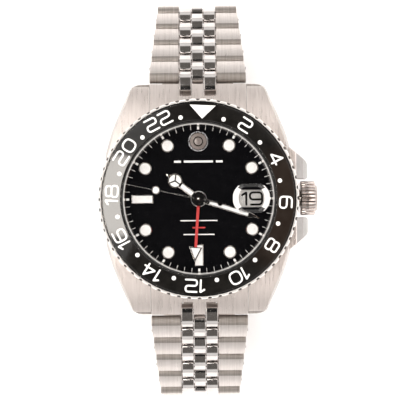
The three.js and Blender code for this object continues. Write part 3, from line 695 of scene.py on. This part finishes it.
def build_dial():
    plate = lathe([(1.65, DIAL_TOP - 0.4), (15.5, DIAL_TOP - 0.4), (15.5, DIAL_TOP), (1.65, DIAL_TOP)], 160)
    window = prism(rectangle(WINDOW_X - 2.4, -1.8, WINDOW_X + 2.9, 1.8), 5, 7)
    plate = boolean(plate, window, "DIFFERENCE")
    piece("dial_plate", plate, "case", [DIAL_BLACK], ["dial"])

    frames, lume = Shape(), Shape()
    for hour in (1, 2, 4, 5, 7, 8, 10, 11):
        cup = lathe([(1.08, DIAL_TOP), (1.3, DIAL_TOP), (1.3, DIAL_TOP + 0.28), (1.22, DIAL_TOP + 0.36),
                     (1.12, DIAL_TOP + 0.36), (1.08, DIAL_TOP + 0.3)], 48)
        dome = lathe([(0, DIAL_TOP), (1.1, DIAL_TOP), (1.1, DIAL_TOP + 0.27), (0.7, DIAL_TOP + 0.32),
                      (0, DIAL_TOP + 0.34)], 48)
        frames.add(turned_z(shifted(cup, y=MARKER_R), hour * 30))
        lume.add(turned_z(shifted(dome, y=MARKER_R), hour * 30))
    for hour in (6, 9):
        holder = bar(4.4, 1.74, DIAL_TOP, DIAL_TOP + 0.28)
        filling = bar(4.12, 1.46, DIAL_TOP + 0.1, DIAL_TOP + 0.33)
        frames.add(turned_z(shifted(holder, y=BAR_MARKER_R), hour * 30))
        lume.add(turned_z(shifted(filling, y=BAR_MARKER_R), hour * 30))
    piece("dial_marker_frames", frames, "case", [POLISHED])
    piece("dial_marker_lume", lume, "case", [LUME])

    track = Shape()
    for minute in range(60):
        five = minute % 5 == 0
        width, length = (0.44, 0.62) if five else (0.09, 0.7)
        tick = bar(length, width, *PRINT_LEVELS, 0.01)
        track.add(turned_z(shifted(tick, y=TRACK_R), minute * 6))
    for x, y, length, thick in ((0, 7.7, 6.0, 0.42), (-4.3, 7.7, 1.4, 0.42), (4.3, 7.7, 1.4, 0.42),
                                (0, -4.45, 7.6, 0.22), (0, -7.3, 6.4, 0.22)):
        track.add(flat_line(x, y, length, thick))
    piece("dial_print", track, "case", [PRINT])
    piece("dial_red_line", flat_line(0, -5.9, 2.6, 0.3), "case", [RED])

    emblem = Shape()
    rim = [(1.8, 0), (2.1, 0), (2.1, 0.22), (2.0, 0.34), (1.88, 0.34), (1.8, 0.24)]
    field = [(0, 0), (1.81, 0), (1.81, 0.14), (0, 0.14)]
    ring = [(0.98, 0.1), (1.72, 0.1), (1.72, 0.3), (1.66, 0.34), (1.04, 0.34), (0.98, 0.3)]
    centre = [(0, 0.1), (0.82, 0.1), (0.82, 0.3), (0.76, 0.34), (0.4, 0.38), (0, 0.4)]
    for profile, look in ((rim, 0), (field, 1), (ring, 2), (centre, 2)):
        part = lathe([(r, DIAL_TOP + z) for r, z in profile], 72)
        emblem.add(shifted(part, y=EMBLEM_R), look)
    # the emblem's field gets the near-black steel painted with dark reflection
    piece("dial_emblem", emblem, "case", [SPRING, HUB_DARK_REFLECTION, EMBLEM])


def build_date():
    disc = Shape().add(lathe([(7.3, 5.5), (14.1, 5.5), (14.1, DATE_TOP), (7.3, DATE_TOP)], 128), 0)
    text = numeral("19", 2.5, 2.5, 0.44, 0.03, 0.75)
    disc.add(shifted(text, WINDOW_X + 0.3, 0, DATE_TOP), 1)
    piece("date_ring", disc, "date", [DATE_PAPER, DATE_INK], ["date_disc"])


# ---- Hands ----
def build_hand(name, body, angle, node, frame_part, lume_part, frame_look):
    frame_shape, lume_shape = Shape(), Shape()
    for part, look in frame_part:
        frame_shape.add(turned_z(part, angle), look)
    for part in lume_part:
        lume_shape.add(turned_z(part, angle))
    piece(name + "_frame", frame_shape, body, frame_look, [node])
    piece(name + "_lume", lume_shape, body, [LUME])


def hub(z0, z1, r, pipe):
    """The round boss of a hand, and the pipe under it, both in the hand's second material, steel painted with
    dark reflection.
    """
    boss = lathe([(0, z0), (r, z0), (r, z1 - 0.03), (r - 0.04, z1), (r * 0.55, z1), (r * 0.5, z1 - 0.05),
                  (0, z1 - 0.05)], 48)
    tube = lathe([(0, HAND_PIPE_END), (pipe, HAND_PIPE_END), (pipe, z0 + 0.02), (0, z0 + 0.02)], 32)
    return [(boss, 1), (tube, 1)]


def ring_part(cy, r_in, r_out, z0, z1):
    edge = 0.05
    ring = lathe([(r_in, z0), (r_out, z0), (r_out, z1 - edge), (r_out - edge, z1), (r_in + edge, z1),
                  (r_in, z1 - edge)], 48)
    return shifted(ring, y=cy)


def build_hands():
    """Four hands, the lowest first, each between its own two levels."""
    # each hand's second material, on its boss, pipe, spokes, cap and weight, is steel painted with dark
    # reflection
    edge = 0.06
    z0, z1 = 6.72, 6.9
    stem = bevelled(prism(rectangle(-0.28, 0.9, 0.28, 10.0), z0, z1), 0.03, 2)
    head = bevelled(prism([(-1.36, 9.9), (1.36, 9.9), (0, 13.05)], z0, z1), 0.04, 2)
    inlay = prism([(-0.98, 10.12), (0.98, 10.12), (0, 12.4)], z0 + 0.05, z1 + 0.025)
    build_hand("gmt_pointer", "gmt", 184, "gmt_hand", [(stem, 2), (head, 0), *hub(z0, z1, 1.5, 1.4)],
               [inlay], [POLISHED, HUB_DARK_REFLECTION, RED])

    z0, z1 = 7.12, 7.3
    arm = bevelled(prism(rectangle(-0.6, 0.8, 0.6, 5.0), z0, z1), edge, 2)
    tip = bevelled(prism([(-0.36, 7.35), (0.36, 7.35), (0, 8.5)], z0, z1), 0.04, 2)
    ring_y = 6.1
    spokes = []
    for direction in (180, 60, -60):
        spoke = prism(rectangle(-0.13, 0, 0.13, 1.3), z0, z1)
        spokes.append((shifted(turned_z(spoke, direction), y=ring_y), 1))
    bar_lume = prism(rectangle(-0.4, 1.6, 0.4, 4.5), z0 + 0.05, z1 + 0.025)
    disc_lume = lathe([(0, z0 + 0.02), (1.25, z0 + 0.02), (1.25, z1 - 0.04), (0, z1 - 0.04)], 40)
    ring = ring_part(ring_y, 1.2, 1.45, z0, z1)
    build_hand("hour_pointer", "hours", 308, "hour_hand",
               [(arm, 0), (tip, 0), (ring, 0), *spokes, *hub(z0, z1, 1.4, 1.0)],
               [bar_lume, shifted(disc_lume, y=ring_y)], [POLISHED, HUB_DARK_REFLECTION])

    z0, z1 = 7.52, 7.7
    arm = bevelled(prism([(-0.52, 0.8), (0.52, 0.8), (0.5, 11.2), (0, 13.0), (-0.5, 11.2)], z0, z1), edge, 2)
    inlay = prism([(-0.33, 2.4), (0.33, 2.4), (0.31, 10.6), (-0.31, 10.6)], z0 + 0.05, z1 + 0.025)
    build_hand("minute_pointer", "minutes", 108, "minute_hand", [(arm, 0), *hub(z0, z1, 1.25, 0.6)],
               [inlay], [POLISHED, HUB_DARK_REFLECTION])

    z0, z1 = 7.95, 8.1
    needle = bevelled(prism([(-0.13, -4.1), (0.13, -4.1), (0.06, 14.4), (-0.06, 14.4)], z0, z1), 0.03, 2)
    disc_y, weight_y = 8.95, -4.5
    dot = lathe([(0, z0 + 0.03), (0.66, z0 + 0.03), (0.66, z1 + 0.02), (0, z1 + 0.03)], 36)
    weight = lathe([(0, z0 - 0.02), (0.56, z0 - 0.02), (0.56, z1), (0.5, z1 + 0.05), (0, z1 + 0.06)], 36)
    cap = lathe([(0, z0), (0.62, z0), (0.62, z1 + 0.02), (0.5, z1 + 0.14), (0, z1 + 0.18)], 36)
    pin = lathe([(0, z0), (0.24, z0), (0.24, z1 + 0.2), (0.18, z1 + 0.26), (0, z1 + 0.28)], 24)
    # painted dark reflection: the seconds needle gets the darker copy of polished steel
    build_hand("seconds_pointer", "seconds", 282, "seconds_hand",
               [(needle, 2), (ring_part(disc_y, 0.64, 0.84, z0, z1), 0), (shifted(weight, y=weight_y), 1),
                (cap, 1), (pin, 0), *hub(z0, z1, 0.95, 0.22)],
               [shifted(dot, y=disc_y)], [POLISHED, HUB_DARK_REFLECTION, POLISH_DARK_REFLECTION])


# ---- Crystal and date lens ----
def build_crystal():
    r = 15.4
    low, high = 8.85, CRYSTAL_TOP
    shape = Shape().add(lathe([(0, low), (r, low), (r, high - 0.3), (r - 0.3, high), (0, high)], 160), 0)
    obj = piece("crystal_disc", shape, "case", [SAPPHIRE, SAPPHIRE_RIM_GLINT], ["crystal"])
    # painted highlight: the crystal's rim and bevel get the pale sapphire, its flat faces the clear one
    for face in obj.data.polygons:
        face.material_index = 0 if abs(face.normal.z) > 0.9 else 1
    corners = [(3.75, -1.2), (3.75, 1.2), (2.4, 2.95), (-2.4, 2.95), (-3.75, 1.2), (-3.75, -1.2),
               (-2.4, -2.95), (2.4, -2.95)]
    outline = rounded(corners, 0.9, True, 6)
    levels = [(1.0, 1.0, 0.02), (1.0, 1.0, 0.35), (0.94, 0.95, 0.5), (0.69, 0.78, 0.62), (0.45, 0.5, 0.69),
              (0.2, 0.2, 0.72)]
    sections = [[(WINDOW_X + x * u, y * v, high + z) for x, y in outline] for u, v, z in levels]
    lens = piece("date_lens", loft(sections), "case", [SAPPHIRE, LENS_SIDE_GLINT, LENS_EDGE_SHADE],
                 ["date_magnifier"])
    # painted highlight and shade: sloped lens faces at its 3 and 9 o'clock ends get the pale copy, those
    # along its 12 and 6 o'clock edges the dark one
    for face in lens.data.polygons:
        x, y, z = face.center / MM
        if z > high + 0.1 and abs(face.normal.z) < 0.996:
            face.material_index = 1 if abs(x - WINDOW_X) > 2.5 else 2


# ---- Crown ----
def build_crown():
    ridges = 28

    def groove(angle):
        return max(0.0, 1 - abs(math.sin(angle * ridges / 2)) / 0.6)

    def fluted(r, z, angle):
        return r - 0.34 * groove(angle) ** 0.8 if r > 3.3 else r

    profile = [(0, 2.0), (2.1, 2.0), (2.1, 0.0), (3.2, 0.0), (3.4, 0.1), (3.5, 0.25), (3.5, 1.5),
               (3.5, 2.75), (3.4, 2.92), (3.2, 3.0), (2.7, 3.02), (2.6, 3.3), (2.45, 3.42), (1.9, 3.42),
               (1.8, 3.34), (1.4, 3.34), (1.3, 3.42), (0, 3.5)]
    to_crown = Matrix.Translation((20.9, 0, CROWN_Z)) @ Matrix.Rotation(math.pi / 2, 4, "Y")
    turned = moved(lathe(profile, ridges * 12, fluted), to_crown)
    knob = piece("crown_knob", turned, "winding", [CROWN_STEEL, GROOVE_SHADE], ["crown"])
    # painted shade: faces deep in the crown's flutes get near-black steel
    for face in knob.data.polygons:
        x, y, z = face.center / MM
        if math.hypot(y, z - CROWN_Z) > 3.1 and groove(math.atan2(y, CROWN_Z - z)) > 0.45:
            face.material_index = 1


# ---- Bracelet ----
LINK_LENGTH = PITCH - LINK_R - END_GAP
SMALL_LEAN, OUTER_LEAN = 27, 14  # degrees that the domed faces of the links lean at their ends


def near_round(lean):
    """Side view of a link: round about its own hinge, then a domed face that leans in degrees at each end."""
    start = arc(0, 0, LINK_R, 270, 90 + lean, 14)
    (y0, z0), y1 = start[-1], LINK_LENGTH - 0.14
    radius = (y1 - y0) / 2 / math.sin(math.radians(lean))
    dome = arc((y0 + y1) / 2, z0 - radius * math.cos(math.radians(lean)), radius, 90 + lean, 90 - lean, 12)
    fall = [(LINK_LENGTH - 0.04, z0 - 0.14), (LINK_LENGTH, z0 - 0.4)]
    under = [(LINK_LENGTH, -LINK_R + 0.35), (LINK_LENGTH - 0.2, -LINK_R + 0.1), (LINK_LENGTH - 0.5, -LINK_R)]
    return start + dome[1:] + fall + under


def far_round(end, lean):
    """Side view of a flanking link, round about the hinge it ends on."""
    return [(end - y, z) for y, z in near_round(lean)]


def link(outline, x0, x1, edge):
    return bevelled(along_x(outline, x0, x1), edge, 3, 40)


def flank_pair(start):
    """The two flanking links that reach from start to the hinge one link further on."""
    outline = far_round(start + LINK_LENGTH, SMALL_LEAN)
    return [link(outline, FLANK_IN, FLANK_OUT, 0.08), link(outline, -FLANK_OUT, -FLANK_IN, 0.08)]


def row_shape(width):
    """One row: two brushed outer links, with painted shade where they curl in, and the polished small ones.
    """
    shape = Shape()
    verts, faces = link(near_round(OUTER_LEAN), OUTER_IN, width / 2, 0.14)
    middle = (OUTER_IN + width / 2) / 2
    narrowed = [(x - max(0.0, y) / PITCH * WIDTH_STEP / 2 if x > middle else x, y, z) for x, y, z in verts]
    # painted shade: faces on the round end at the near hinge get the third material, the darker brushed steel
    looks = [2 if sum(verts[i][1] for i in face) / len(face) < -0.1 else 0 for face in faces]
    for side in (1, -1):
        start = len(shape.verts)
        shape.verts += [(side * x, y, z) for x, y, z in narrowed]
        shape.faces += [[start + i for i in face] for face in faces]
        shape.looks += looks
    shape.add(link(near_round(SMALL_LEAN), -CENTRE_HALF, CENTRE_HALF, 0.08), 1)
    for part in flank_pair(LINK_R + END_GAP):
        shape.add(part, 1)
    shape.add(rod(PIN_R, -OUTER_IN - 0.4, OUTER_IN + 0.4), 1)
    shape.add(rod(PIN_R, -width / 2 - 0.03, width / 2 + 0.03, PITCH / 2, 0), 1)
    return shape


def hinge_frame(position, ahead, sign):
    """Places a link: its origin on a hinge, its Y towards the next hinge, its Z outwards."""
    run = (ahead - position).normalized()
    across = Vector((sign, 0, 0))
    out = across.cross(run)
    matrix = Matrix((across, run, out)).transposed().to_4x4()
    return Matrix.Translation(position) @ matrix


def hinge_points(label):
    points = [Vector(JOINTS[f"bracelet_{label}_hinge_{i:02d}"]["pos_m"]) / MM for i in range(1, 12)]
    last = Vector(JOINTS["clasp_hinge"]["pos_m"]) / MM
    if label == "12":
        last.y = -last.y
    return points + [last]


def build_rows(label, sign):
    points = hinge_points(label)
    for i in range(11):
        at = hinge_frame(points[i], points[i + 1], sign)
        made = row_shape(max(LAST_WIDTH, FIRST_WIDTH - WIDTH_STEP * i))
        made.verts = [tuple(at @ Vector(v)) for v in made.verts]
        number = f"{i + 1:02d}"
        piece(f"links_{label}_{number}", made, f"row_{label}_{number}",
              [BRUSHED_LINK, LINK_POLISH, BRUSHED_END_SHADE], [f"bracelet_{label}_row_{number}"])


def build_end_link(label, sign):
    """The piece between the lugs, with the first flanking pair in its notches."""
    half, front, notch = LUG_IN - 0.05, 23.8, 21.2
    n0, n1 = FLANK_IN - 0.15, FLANK_OUT + 0.15
    plan = [(-half, 17.6), (half, 17.6), (half, front), (n1, front), (n1, notch), (n0, notch), (n0, front),
            (-n0, front), (-n0, notch), (-n1, notch), (-n1, front), (-half, front)]
    crown = [(y, z - 0.12) for y, z in LUG_CROWN if y > 16]
    side = [(16.0, 1.4), (25.0, 1.4), (25.0, 3.4)] + crown[::-1] + [(16.0, crown[0][1])]
    block = boolean(prism(plan, 0, 12), along_x(side, -12, 12), "INTERSECT")
    shape = Shape().add(bevelled(block, 0.03, 2, 40), 0)
    first = hinge_points(label)[0]
    slope = Matrix.Rotation(-math.radians(END_LINK_SLOPE), 4, "X")
    hinge = Matrix.Translation((0, abs(first.y), first.z)) @ slope
    for part in flank_pair(-LINK_LENGTH):
        shape.add(moved(part, hinge), 1)
    half_turn = Matrix.Rotation(0 if sign > 0 else math.pi, 4, "Z")
    shape.verts = [tuple(half_turn @ Vector(v)) for v in shape.verts]
    piece(f"end_piece_{label}", shape, "case", [BRUSHED, LINK_POLISH], [f"end_link_{label}"])


# ---- Clasp ----
# Its own frame has Y from the 6 o'clock half to the 12 o'clock half and Z away from the wrist.
def clasp_frame():
    start = Vector(JOINTS["clasp_hinge"]["pos_m"]) / MM
    return Matrix.Translation(start) @ Matrix.Rotation(math.pi, 4, "Z") @ Matrix.Rotation(math.pi, 4, "X")


def clasp_local(joint, at):
    return at.inverted() @ (Vector(JOINTS[joint]["pos_m"]) / MM)


def both_sides(outline, x0, x1, edge):
    return [link(outline, x0, x1, edge), link(outline, -x1, -x0, edge)]


def build_clasp():
    at = clasp_frame()
    length = 2 * abs(JOINTS["clasp_hinge"]["pos_m"][1]) / MM
    start, end, low, top, half, wall = LINK_R + 0.45, length - LINK_R - 0.55, -1.75, 2.3, 8.2, 0.8
    pivot_a = clasp_local("clasp_blade_a_fold", at)
    pivot_b = clasp_local("clasp_blade_b_fold", at)
    flap = clasp_local("clasp_flap_fold", at)

    cover = Shape()
    lid = [(start, 1.5), (end, 1.5), (end, top - 0.35), (end - 0.12, top - 0.12), (end - 0.4, top),
           (start + 0.4, top), (start + 0.12, top - 0.12), (start, top - 0.35)]
    cover.add(link(lid, -half, half, 0.22), 0)
    side = [(start, 0), (start + 1, low), (end - 1, low), (end, 0), (end, 1.8), (start, 1.8)]
    for part in both_sides(side, half - wall, half, 0.14):
        cover.add(part, 0)
    knuckle = arc(0, 0, LINK_R, 90, 270, 12) + [(start + 0.8, -LINK_R), (start + 0.8, 1.7), (start, 1.7)]
    for part in both_sides(knuckle, OUTER_IN, LAST_WIDTH / 2, 0.12):
        cover.add(part, 0)
    cover.add(link(knuckle, -CENTRE_HALF, CENTRE_HALF, 0.12), 1)
    cover.add(rod(PIN_R, -OUTER_IN - 0.5, OUTER_IN + 0.5), 1)
    far = length + LINK_R - 0.2
    far_end = [(end - 0.8, -LINK_R), (far - 0.4, -LINK_R), (far, -LINK_R + 0.4), (far, LINK_R - 0.4),
               (far - 0.4, LINK_R), (end, 1.7), (end - 0.8, 1.7)]
    for part in both_sides(far_end, OUTER_IN + 2.0, LAST_WIDTH / 2, 0.12):
        cover.add(part, 0)
    cover.add(rod(0.5, -half + 0.3, half - 0.3, pivot_a.y, pivot_a.z), 1)
    ear = [(flap.y - 0.6, 2.0), (flap.y + 0.6, 2.0), (flap.y + 0.5, 3.2), (flap.y + 0.3, 3.4),
           (flap.y - 0.3, 3.4), (flap.y - 0.5, 3.2)]
    for part in both_sides(ear, 6.6, 7.4, 0.1):
        cover.add(part, 1)
    cover.add(rod(0.28, -7, 7, flap.y, flap.z), 1)
    clasp_piece("clasp_lid", cover, "clasp", [BRUSHED, POLISHED], "clasp_cover", at)

    y, z = flap.y, flap.z
    leaf = [(y - 0.2, z - 0.5), (y + 0.4, z - 0.3), (y + 0.45, z + 0.1), (y + 0.2, z + 0.45),
            (y - 0.2, z + 0.5), (5.0, z + 0.3), (4.2, z + 0.2), (3.5, z - 0.05), (3.2, z - 0.45),
            (y - 1.2, z - 0.5)]
    clasp_piece("clasp_flap_leaf", Shape().add(link(leaf, -6.4, 6.4, 0.12)), "flap", [BRUSHED, POLISHED],
                "clasp_safety_flap", at)

    build_blades(at, length, pivot_a, pivot_b)


def slotted(y0, y1, z0, z1, half, slots):
    """A flat blade along Y with long round-ended slots in it."""
    plate = prism(rectangle(-half, y0, half, y1), z0, z1)
    for s0, s1, width in slots:
        r = width / 2
        hole = arc(0, s1 - r, r, 0, 180, 12) + arc(0, s0 + r, r, 180, 360, 12)
        plate = boolean(plate, prism(hole, z0 - 1, z1 + 1), "DIFFERENCE")
    return bevelled(plate, 0.1, 2, 50)


def build_blades(at, length, a, b):
    blade = Shape().add(slotted(b.y + 1.35, a.y - 0.7, -0.1, 0.5, 5.7, [(b.y + 7, a.y - 6, 3.4)]))
    eye = circle(a.y, a.z, 0.95, 28)
    blade.add(link(eye, -5.7, 5.7, 0.08), 0)
    for part in both_sides(circle(b.y, b.z, 0.95, 28), 3.4, 5.7, 0.08):
        blade.add(part, 0)
    reach = [(b.y, b.z - 0.1), (b.y + 1.6, -0.1), (b.y + 1.6, 0.5), (b.y, b.z + 0.9)]
    for part in both_sides(reach, 3.45, 5.65, 0.05):
        blade.add(part, 0)
    clasp_piece("blade_outer", blade, "blade_a", [CASE_POLISH], "clasp_blade_a", at)

    wide = length - 2.9
    blade = Shape().add(slotted(b.y + 1.35, wide, -1.55, -0.95, 5.2, [(b.y + 6, wide - 8, 2.6)]))
    blade.add(link(circle(b.y, b.z, 0.95, 28), -3.0, 3.0, 0.08), 0)
    reach = [(b.y - 0.3, b.z - 0.9), (b.y + 1.6, -1.55), (b.y + 1.6, -0.95), (b.y + 0.9, b.z + 0.1)]
    blade.add(link(reach, -2.95, 2.95, 0.05), 0)
    blade.add(rod(0.5, -5.5, 5.5, b.y, b.z), 0)
    neck = [(wide - 0.3, -1.55), (length - 1, -1.55), (length, -1.0)] + arc(length, 0, 1.0, -80, 140, 14)
    neck += [(wide - 0.3, -0.95)]
    blade.add(link(neck, -1.0, 1.0, 0.08), 0)
    clasp_piece("blade_inner", blade, "blade_b", [CASE_POLISH], "clasp_blade_b", at)


def clasp_piece(name, shape, body, materials, node, at):
    shape.verts = [tuple(at @ Vector(v)) for v in shape.verts]
    piece(name, shape, body, materials, [node])


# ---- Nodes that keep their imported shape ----
KEPT = {
    "crown_tube": POLISHED, "winding_stem": SPRING, "setting_lever": SPRING, "bezel_click_spring": SPRING,
    "spring_bar_12": SPRING, "spring_bar_6": SPRING, "case_back_gasket": RUBBER, "crystal_gasket": RUBBER,
    "movement_holder": RHODIUM, "mainplate": RHODIUM, "train_bridge": RHODIUM, "balance_cock": RHODIUM,
    "winding_rotor": RHODIUM, "mainspring_barrel": BRASS, "third_wheel": BRASS, "escape_wheel": BRASS,
    "balance_wheel": BRASS, "center_wheel": BRASS, "seconds_wheel": BRASS,
}


def dress_kept_nodes():
    for node, material in KEPT.items():
        for slot in frame["nodes"][node].material_slots:
            slot.material = material


# ---- Studio ----
CAMERA_DISTANCE = 380.0
CAMERA_LEAN = -0.6  # degrees towards 12 o'clock
CAMERA_ROLL = -0.5
VIEW_WIDTH = 400 / 4.92  # millimetres across the picture, at the height of the bezel
SENSOR = 36.0


def build_camera():
    data = bpy.data.cameras.new("camera")
    data.sensor_width = SENSOR
    data.lens = CAMERA_DISTANCE * SENSOR / VIEW_WIDTH
    data.clip_start = 0.01
    data.shift_x = 0.0028
    data.shift_y = -0.0032
    camera = bpy.data.objects.new("camera", data)
    lean = math.radians(CAMERA_LEAN)
    aim = Vector((0, 0, 10.7)) * MM
    offset = Vector((0, math.sin(lean), math.cos(lean))) * CAMERA_DISTANCE * MM
    camera.location = aim + offset
    camera.rotation_euler = (-lean, 0, math.radians(CAMERA_ROLL))
    bpy.context.scene.collection.objects.link(camera)
    bpy.context.scene.camera = camera


def build_world():
    """A pale dome with a bright ring, a dark band from 12 to 6 o'clock and a dark place overhead.

    Two small patches beside that place, a brown one and a bright one, show in the black insert.
    """
    world = bpy.data.worlds.new("studio")
    bpy.context.scene.world = world
    world.use_nodes = True
    tree = world.node_tree
    nodes, links = tree.nodes, tree.links
    background = nodes["Background"]
    coords = nodes.new("ShaderNodeTexCoord")
    split = nodes.new("ShaderNodeSeparateXYZ")
    links.new(coords.outputs["Generated"], split.inputs["Vector"])

    def cap(tilt, clock, inner, outer):
        """1 inside a round patch of sky at a tilt from overhead, 0 outside it."""
        t, c = math.radians(tilt), math.radians(clock)
        aim = (math.sin(t) * math.sin(c), math.sin(t) * math.cos(c), math.cos(t))
        dot = nodes.new("ShaderNodeVectorMath")
        dot.operation = "DOT_PRODUCT"
        dot.inputs[1].default_value = aim
        links.new(coords.outputs["Generated"], dot.inputs[0])
        return ranged(dot.outputs["Value"], math.cos(math.radians(outer)), math.cos(math.radians(inner)))

    def ranged(source, start, end):
        node = nodes.new("ShaderNodeMapRange")
        node.inputs["From Min"].default_value = start
        node.inputs["From Max"].default_value = end
        links.new(source, node.inputs["Value"])
        return node.outputs["Result"]

    def band(inner, outer, tilt):
        """1 in a narrow strip of sky from 12 to 6 o'clock, down to a tilt from overhead."""
        size = nodes.new("ShaderNodeMath")
        size.operation = "ABSOLUTE"
        links.new(split.outputs["X"], size.inputs[0])
        both = nodes.new("ShaderNodeMath")
        both.operation = "MULTIPLY"
        links.new(ranged(size.outputs["Value"], outer, inner), both.inputs[0])
        low, high = math.cos(math.radians(tilt + 6)), math.cos(math.radians(tilt))
        links.new(ranged(split.outputs["Z"], low, high), both.inputs[1])
        return both.outputs["Value"]

    def mixed(mask, under, over):
        mix = nodes.new("ShaderNodeMix")
        mix.data_type = "RGBA"
        links.new(mask, mix.inputs["Factor"])
        if isinstance(under, tuple):
            mix.inputs["A"].default_value = under
        else:
            links.new(under, mix.inputs["A"])
        mix.inputs["B"].default_value = over
        return mix.outputs["Result"]

    sky = mixed(ranged(split.outputs["Z"], -0.1, 0.5), (0.78, 0.765, 0.75, 1), (1.2, 1.17, 1.15, 1))
    sky = mixed(cap(0, 0, 40, 52), sky, (2.9, 2.76, 2.67, 1))
    sky = mixed(band(0.08, 0.14, 66), sky, (0.15, 0.14, 0.13, 1))
    sky = mixed(cap(0, 0, 15, 21), sky, (0.012, 0.012, 0.012, 1))
    sky = mixed(cap(15, 95, 7, 11), sky, (0.34, 0.19, 0.12, 1))
    sky = mixed(cap(11.5, 275.5, 6.3, 6.8), sky, (9.6, 9.1, 8.5, 1))
    links.new(sky, background.inputs["Color"])
    background.inputs["Strength"].default_value = 1.0


def build_light():
    data = bpy.data.lights.new("key", "AREA")
    data.size = 0.7
    data.energy = 1.2
    data.color = (1.0, 0.98, 0.95)
    key = bpy.data.objects.new("key", data)
    key.location = (-0.36, 0.1, 0.42)
    key.rotation_euler = (-key.location).to_track_quat("-Z", "Y").to_euler()
    bpy.context.scene.collection.objects.link(key)


def build_floor():
    look = Look("pale floor", (0.93, 0.93, 0.93), 0.0, 0.9)
    look.tones(look.noise((30, 30, 30)), (0.80, 0.80, 0.80), (0.83, 0.83, 0.83))
    look.set(Emission_Color=(1.0, 1.0, 1.0, 1.0), Emission_Strength=0.12)
    z = CAD_BOX[0].z / MM - 0.05
    mesh = bpy.data.meshes.new("floor")
    verts, faces = prism(circle(0, 0, 1500, 96), z - 5, z)
    mesh.from_pydata([Vector(v) * MM for v in verts], [], faces)
    mesh.materials.append(look.material)
    floor = bpy.data.objects.new("floor", mesh)
    bpy.context.scene.collection.objects.link(floor)


# ---- The whole watch ----
build_case()
build_bezel()
build_dial()
build_date()
build_hands()
build_crystal()
build_crown()
for half, direction in (("12", 1), ("6", -1)):
    build_end_link(half, direction)
    build_rows(half, direction)
build_clasp()
dress_kept_nodes()

build_camera()
build_world()
build_light()
build_floor()
bpy.context.scene.view_settings.view_transform = "Standard"
